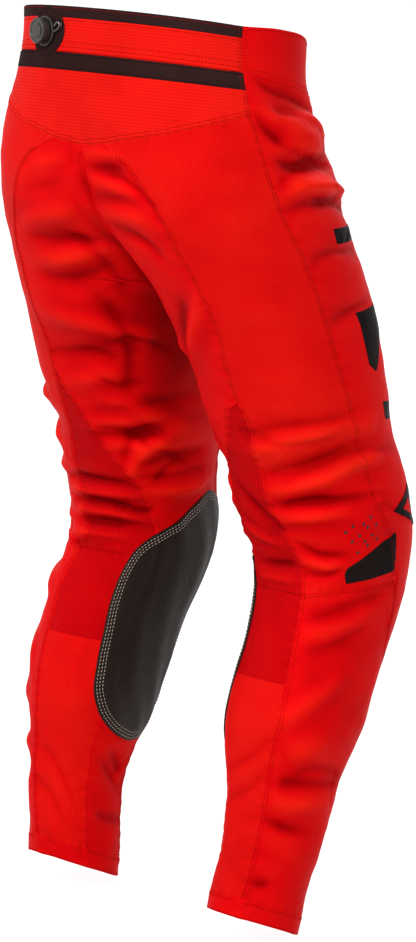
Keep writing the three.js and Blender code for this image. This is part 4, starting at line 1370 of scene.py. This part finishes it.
# ribs round the grip, modelled once and copied
bpy.ops.object.select_all(action="DESELECT")
bpy.ops.mesh.primitive_cylinder_add(vertices=10, radius=0.00055, depth=0.0062, location=(0, 0, 0.0104))
rib = active()
bpy.ops.object.transform_apply(location=True)
selectFaces(rib, lambda c, n: abs(n.z) > 0.9)
bpy.ops.mesh.inset(thickness=0.0002)
bpy.ops.object.mode_set(mode="OBJECT")
offsets = []
for k in range(dial["ribs"]):
    turn = 2 * math.pi * (k + 0.5) / dial["ribs"]
    hexTurn = (turn % (math.pi / 3)) - math.pi / 6
    flatSide = dial["radius"] * 1.06 * math.cos(math.pi / 6) / math.cos(hexTurn)
    reach = min(flatSide, dial["radius"] * 0.985)
    offsets.append((reach * math.cos(turn), reach * math.sin(turn), 0))
ribs = joinCopies(rib, offsets)
dress(setInPlace(ribs, dialFrame, "dialKnobRibs"), knobPlastic, "dial_grip")

cap = roundedPrism(6, 0.0092, 0.01385, 0.0149, 0.0034)
selectFaces(cap, lambda c, n: n.z > 0.9)
bpy.ops.mesh.inset(thickness=0.0018, use_even_offset=True)
bpy.ops.transform.translate(value=(0, 0, 0.00035))
bpy.ops.mesh.inset(thickness=0.0028, use_even_offset=True)
bpy.ops.transform.translate(value=(0, 0, 0.00015))
bpy.ops.object.mode_set(mode="OBJECT")
roundOff(cap, 0.0004, 3, 25)
dress(setInPlace(cap, dialFrame, "dialKnobPad"), capPlastic, "dial_grip",
      stands=["dial_cap"])

# flanged housing under the knob
bpy.ops.object.select_all(action="DESELECT")
bpy.ops.mesh.primitive_cylinder_add(vertices=64, radius=0.0152, depth=0.0034, location=(0, 0, 0.0037))
housing = active()
bpy.ops.object.transform_apply(location=True)
selectFaces(housing, lambda c, n: n.z > 0.9)
bpy.ops.mesh.inset(thickness=0.0012)
bpy.ops.transform.translate(value=(0, 0, 0.0004))
bpy.ops.mesh.inset(thickness=0.0012)
bpy.ops.transform.translate(value=(0, 0, -0.0018))
bpy.ops.mesh.inset(thickness=0.009)
bpy.ops.object.mode_set(mode="OBJECT")
roundOff(housing, 0.0004, 2, 30)
dress(setInPlace(housing, dialFrame, "dialHousing"), knobPlastic, seat,
      stands=["dial_base"])
print("dial modelled")

# backing patch behind the dial, sewn to the waistband
dialStep = float(np.linalg.norm(place(1, 40, 75) - place(1, 40, 65))) / 10
radii = np.array([25.2, 25.0, 24.4, 23.2, 21.5, 19.0, 16.0, 12.0, 8.0, 4.0])
turns = np.linspace(0, 2 * np.pi, 73)
gridR, gridT = np.meshgrid(radii, turns, indexing="ij")
drops = dial["drop"] + gridR * np.sin(gridT)
angles = dial["angle"] + 1.04 * gridR * np.cos(gridT) / dialStep
puff = np.array([0.35, 0.95, 1.45, 1.6, 1.6, 1.55, 1.5, 1.4, 1.3, 1.2])[:, None]
top = cloth(1, drops, angles, puff)
under = cloth(1, drops, angles, 0.1)
flat = np.stack([gridR * np.cos(gridT), gridR * np.sin(gridT)], -1) / 1000
patch = closeShell("dialBackingPatch", top, under, flat, np.full(gridR.shape, 0.5), False)
dress(patch, elasticBlack, seat, stands=["dial_backing"])
drops = dial["drop"] + 23.0 * np.sin(turns)
angles = dial["angle"] + 1.04 * 23.0 * np.cos(turns) / dialStep
rows = [stitchRow(cloth(1, drops, angles, 1.7), outward(1, drops, angles), 2.2, 0.8)]
dress(sewThread("dialBackingThread", rows, 0.28), threadBlack, seat)


# CAD parts whose shape is right are copied and get rounded edges
def soften(node, name, width, material, body):
    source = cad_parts[node]
    piece = bpy.data.objects.new(name, source.data.copy())
    bpy.context.scene.collection.objects.link(piece)
    piece.data.materials.clear()
    openForEditing(piece)
    bpy.ops.mesh.remove_doubles(threshold=0.00001)
    bpy.ops.mesh.tris_convert_to_quads(face_threshold=math.radians(2), shape_threshold=math.radians(60))
    bpy.ops.mesh.dissolve_limited(angle_limit=math.radians(2))
    bpy.ops.object.mode_set(mode="OBJECT")
    roundOff(piece, width, 3, 30)
    piece.select_set(False)
    return dress(piece, material, body, stands=[node])


soften("lace_guide", "laceGuideLoop", 0.0004, knobPlastic, seat)
soften("zip_stop", "zipStopBar", 0.0004, zincPlate, seat)
soften("zip_slider", "zipSliderBody", 0.00035, zincPlate, "zip_runner")
soften("zip_pull", "zipPullTab", 0.0003, zincPlate, "zip_tab")
soften("snap_cap", "snapCapShell", 0.0003, zincPlate, "waist_tab")
soften("snap_post", "snapPostStud", 0.0003, zincPlate, seat)
for node, material in (("dial_lace", laceSteel), ("dial_core", zincPlate), ("dial_spool", knobPlastic)):
    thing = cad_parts[node]
    thing.data.materials.clear()
    thing.data.materials.append(material)

# Zip: woven tapes with separate teeth
teethCount = 34
teethPitch = 0.0025
zipStart = place(1, fly["zipTop"], -100)
zipFoot = place(1, fly["zipTop"] + 96, -100)
zipStart[0] = zipFoot[0] = 0
zipDown = (zipFoot - zipStart) / np.linalg.norm(zipFoot - zipStart)
zipOut = np.cross((1, 0, 0), zipDown)
zipOut = zipOut if zipOut[1] < 0 else -zipOut
zipFrame = frameFrom((1, 0, 0), -zipDown, zipOut, zipStart - zipOut * 1.4)
for side in (1, -1):
    w = "left" if side > 0 else "right"
    x = side * np.linspace(1.6, 13.5, 9)
    y = np.linspace(2.0, -94.0, 40)
    gridX, gridY = np.meshgrid(x, y)
    dome = 0.12 * np.sin(gridY * 0.6)
    top = np.stack([gridX, gridY, -1.3 + dome - 0.6 * np.clip((np.abs(gridX) - 7) / 6, 0, 1)], -1)
    under = top - np.array((0, 0, 0.7))
    flat = np.stack([gridX, gridY], -1) / 1000
    tape = closeShell("zipTape_" + w, top, under, flat, np.full(gridX.shape, 0.5), side > 0)
    tape.data.transform(zipFrame)
    dress(tape, elasticBlack, seat)
    bpy.ops.object.select_all(action="DESELECT")
    bpy.ops.mesh.primitive_cube_add(size=0.002, location=(side * 0.0022, 0, 0))
    tooth = active()
    bpy.ops.transform.resize(value=(1.5, 0.62, 0.9))
    bpy.ops.object.transform_apply(location=True, scale=True)
    selectFaces(tooth, lambda c, n: n.x * side < -0.9)
    bpy.ops.mesh.inset(thickness=0.00025)
    bpy.ops.transform.translate(value=(-side * 0.0006, 0, 0))
    bpy.ops.object.mode_set(mode="OBJECT")
    roundOff(tooth, 0.0002, 2, 30)
    shift = 0.5 if side > 0 else 0
    rows = [-0.0016 - teethPitch * (k + shift) for k in range(teethCount)]
    teeth = joinCopies(tooth, [(0, row, 0) for row in rows])
    dress(setInPlace(teeth, zipFrame, "zipTeethRow_" + w), knobPlastic, seat,
          stands=["zip_teeth_" + w])

# cloth guard behind the zip
drops = np.linspace(fly["zipTop"] - 2, fly["zipTop"] + 100, 40)
x = np.linspace(-24, 24, 22)
gridV, gridX = np.meshgrid(drops, x, indexing="ij")
base = place(1, gridV, np.full(gridV.shape, -100.0))
top = np.stack([gridX, base[..., 1] + 6.3 + 0.3 * np.sin(gridX * 0.3), base[..., 2]], -1)
under = top + np.array((0, 1.3, 0))
guard = closeShell("flyGuard", top, under, np.stack([gridX, -gridV], -1) / 1000, np.full(gridX.shape, 0.5),
                   False)
dress(guard, satinRed, seat, stands=["fly_guard"])

# closure strap over the front, hinged at its left end
strap = {"drop": 32, "radius": 150, "low": 3.6, "high": 6.0, "left": -32, "right": 34}


def strapReach(x):
    # half height of the strap, narrower at its hinged end
    return 11 + 7 * np.minimum(1, (x - strap["left"]) / 10) ** 0.5


def strapAngle(x):
    return -90 + np.degrees(np.abs(x) / strap["radius"])


x = np.concatenate([[-32, -31.7, -31], np.linspace(-29.5, 31.5, 40), [33, 33.7, 34]])
t = np.concatenate([[-1, -0.98, -0.93], np.linspace(-0.86, 0.86, 16), [0.93, 0.98, 1]])
gridT, gridX = np.meshgrid(t, x, indexing="ij")
reach = strapReach(gridX)
drops = strap["drop"] + reach * gridT
angles = strapAngle(gridX)
edge = np.clip(np.minimum(np.minimum(gridX - strap["left"], strap["right"] - gridX),
                          (1 - np.abs(gridT)) * 18) / 1.2, 0, 1)
height = strap["high"] - 0.9 * (1 - edge) ** 2
points = np.where(gridX[..., None] < 0, place(-1, drops, angles, height), place(1, drops, angles, height))
below = np.where(gridX[..., None] < 0, place(-1, drops, angles, strap["low"]),
                 place(1, drops, angles, strap["low"]))
points[..., 0] = gridX
below[..., 0] = gridX
tab = closeShell("closureStrap", points, below, np.stack([gridX, -drops], -1) / 1000,
                 np.full(gridX.shape, 0.5), False)
dress(tab, elasticBlack, "waist_tab", stands=["closure_tab"])
rows = []
for share in (-0.86, 0.86):
    xs = np.linspace(-29, 31, 60)
    d = strap["drop"] + share * strapReach(xs)
    a = strapAngle(xs)
    p = np.where(xs[:, None] < 0, place(-1, d, a, strap["high"] + 0.1), place(1, d, a, strap["high"] + 0.1))
    p[:, 0] = xs
    rows.append(stitchRow(p, np.tile((0, -1.0, 0.0), (60, 1))))
for xAt in (-28.5, 20, 31):
    share = np.linspace(-0.84, 0.84, 20)
    d = strap["drop"] + share * strapReach(xAt)
    a = np.full(20, strapAngle(xAt))
    p = place(-1 if xAt < 0 else 1, d, a, strap["high"] + 0.1)
    p[:, 0] = xAt
    rows.append(stitchRow(p, np.tile((0, -1.0, 0.0), (20, 1))))
dress(sewThread("closureThread", rows, 0.28), threadBlack, "waist_tab")
print("front closure modelled")

# inside of the waistband: lining and grip lines
lining = sewBand("waistLining", line(sideSeam), belowTop(14), level(58), lift=-1.7, thickness=0.9, edge=0.2)
dress(lining, liningBlack, seat, stands=["waist_gripper"])
for row, drop in enumerate((35, 41, 47, 53)):
    vertices, faces = [], []
    for side in (-1, 1):
        a = np.linspace(28, float(middleAngle(drop)) - 2, 110)
        d = drop + 1.6 * np.sin(np.arange(110) * 0.55)
        n = outward(side, d, a)
        along = np.gradient(place(side, d, a), axis=0)
        along /= np.linalg.norm(along, axis=1, keepdims=True)
        across = np.cross(along, n)
        centre = cloth(side, d, a, -2.75)
        base = len(vertices)
        for k in range(6):
            turn = 2 * math.pi * k / 6
            vertices += list(centre + across * 0.9 * math.cos(turn) + n * 0.5 * math.sin(turn))
        for k in range(6):
            for i in range(109):
                p, q = base + k * 110 + i, base + ((k + 1) % 6) * 110 + i
                faces.append((p, q, q + 1, p + 1) if side > 0 else (p, p + 1, q + 1, q))
        for i in (0, 109):
            ends = [base + k * 110 + i for k in range(6)]
            faces.append(tuple(ends if (i == 0) != (side > 0) else ends[::-1]))
    piece = makePiece("gripLine_" + str(row + 1), vertices, faces)
    dress(piece, gripSilicone, seat)
print("lining sewn")

# Floor, light and camera
bpy.ops.object.select_all(action="DESELECT")
bpy.ops.mesh.primitive_plane_add(size=80, location=(0, 0, float(cadBox[0][2]) - 0.002))
floor = active()
bpy.ops.object.transform_apply(location=True)
bpy.ops.mesh.primitive_ico_sphere_add(subdivisions=4, radius=39)
floor.select_set(True)
bpy.context.view_layer.objects.active = floor
bpy.ops.object.join()
floor.name = "studioFloor"
floor.visible_diffuse = False
floor.visible_shadow = False
paper, tree, shader = startMaterial("white studio paper")
shader.inputs["Base Color"].default_value = (0.4, 0.4, 0.4, 1)
shader.inputs["Roughness"].default_value = 0.95
shader.inputs["Specular IOR Level"].default_value = 0.0
shader.inputs["Emission Color"].default_value = (1, 1, 1, 1)
shader.inputs["Emission Strength"].default_value = 0.92
floor.data.materials.append(paper)

world = bpy.data.worlds.new("studio")
bpy.context.scene.world = world
world.use_nodes = True
world.node_tree.nodes["Background"].inputs[0].default_value = (1, 1, 1, 1)
world.node_tree.nodes["Background"].inputs[1].default_value = 0.50

lights = {
    "keyLight": ((-0.5, 3.0, 2.0), (0, 0, -0.4), 84, 1.0),
    "sideLight": ((-3.2, 0.6, 0.4), (0, 0, -0.5), 13, 1.6),
    "fillLight": ((3.0, 2.0, 0.3), (0.1, 0, -0.4), 16, 1.8),
    "frontLight": ((0.8, -3.4, 1.4), (0, 0, -0.5), 22, 2.0),
}
for name, (location, target, power, size) in lights.items():
    data = bpy.data.lights.new(name, "AREA")
    data.energy = power
    data.size = size
    lamp = bpy.data.objects.new(name, data)
    lamp.location = location
    lamp.rotation_euler = (Vector(target) - Vector(location)).to_track_quat("-Z", "Y").to_euler()
    bpy.context.scene.collection.objects.link(lamp)

cameraData = bpy.data.cameras.new("studioCamera")
cameraData.lens = 126.6
cameraData.sensor_width = 36
camera = bpy.data.objects.new("studioCamera", cameraData)
camera.location = (-2.287, 2.557, 0.320)
aim = Vector((-0.037, -0.032, -0.490)) - Vector(camera.location)
camera.rotation_euler = aim.to_track_quat("-Z", "Y").to_euler()
bpy.context.scene.collection.objects.link(camera)
bpy.context.scene.camera = camera
bpy.context.scene.view_settings.view_transform = "Standard"
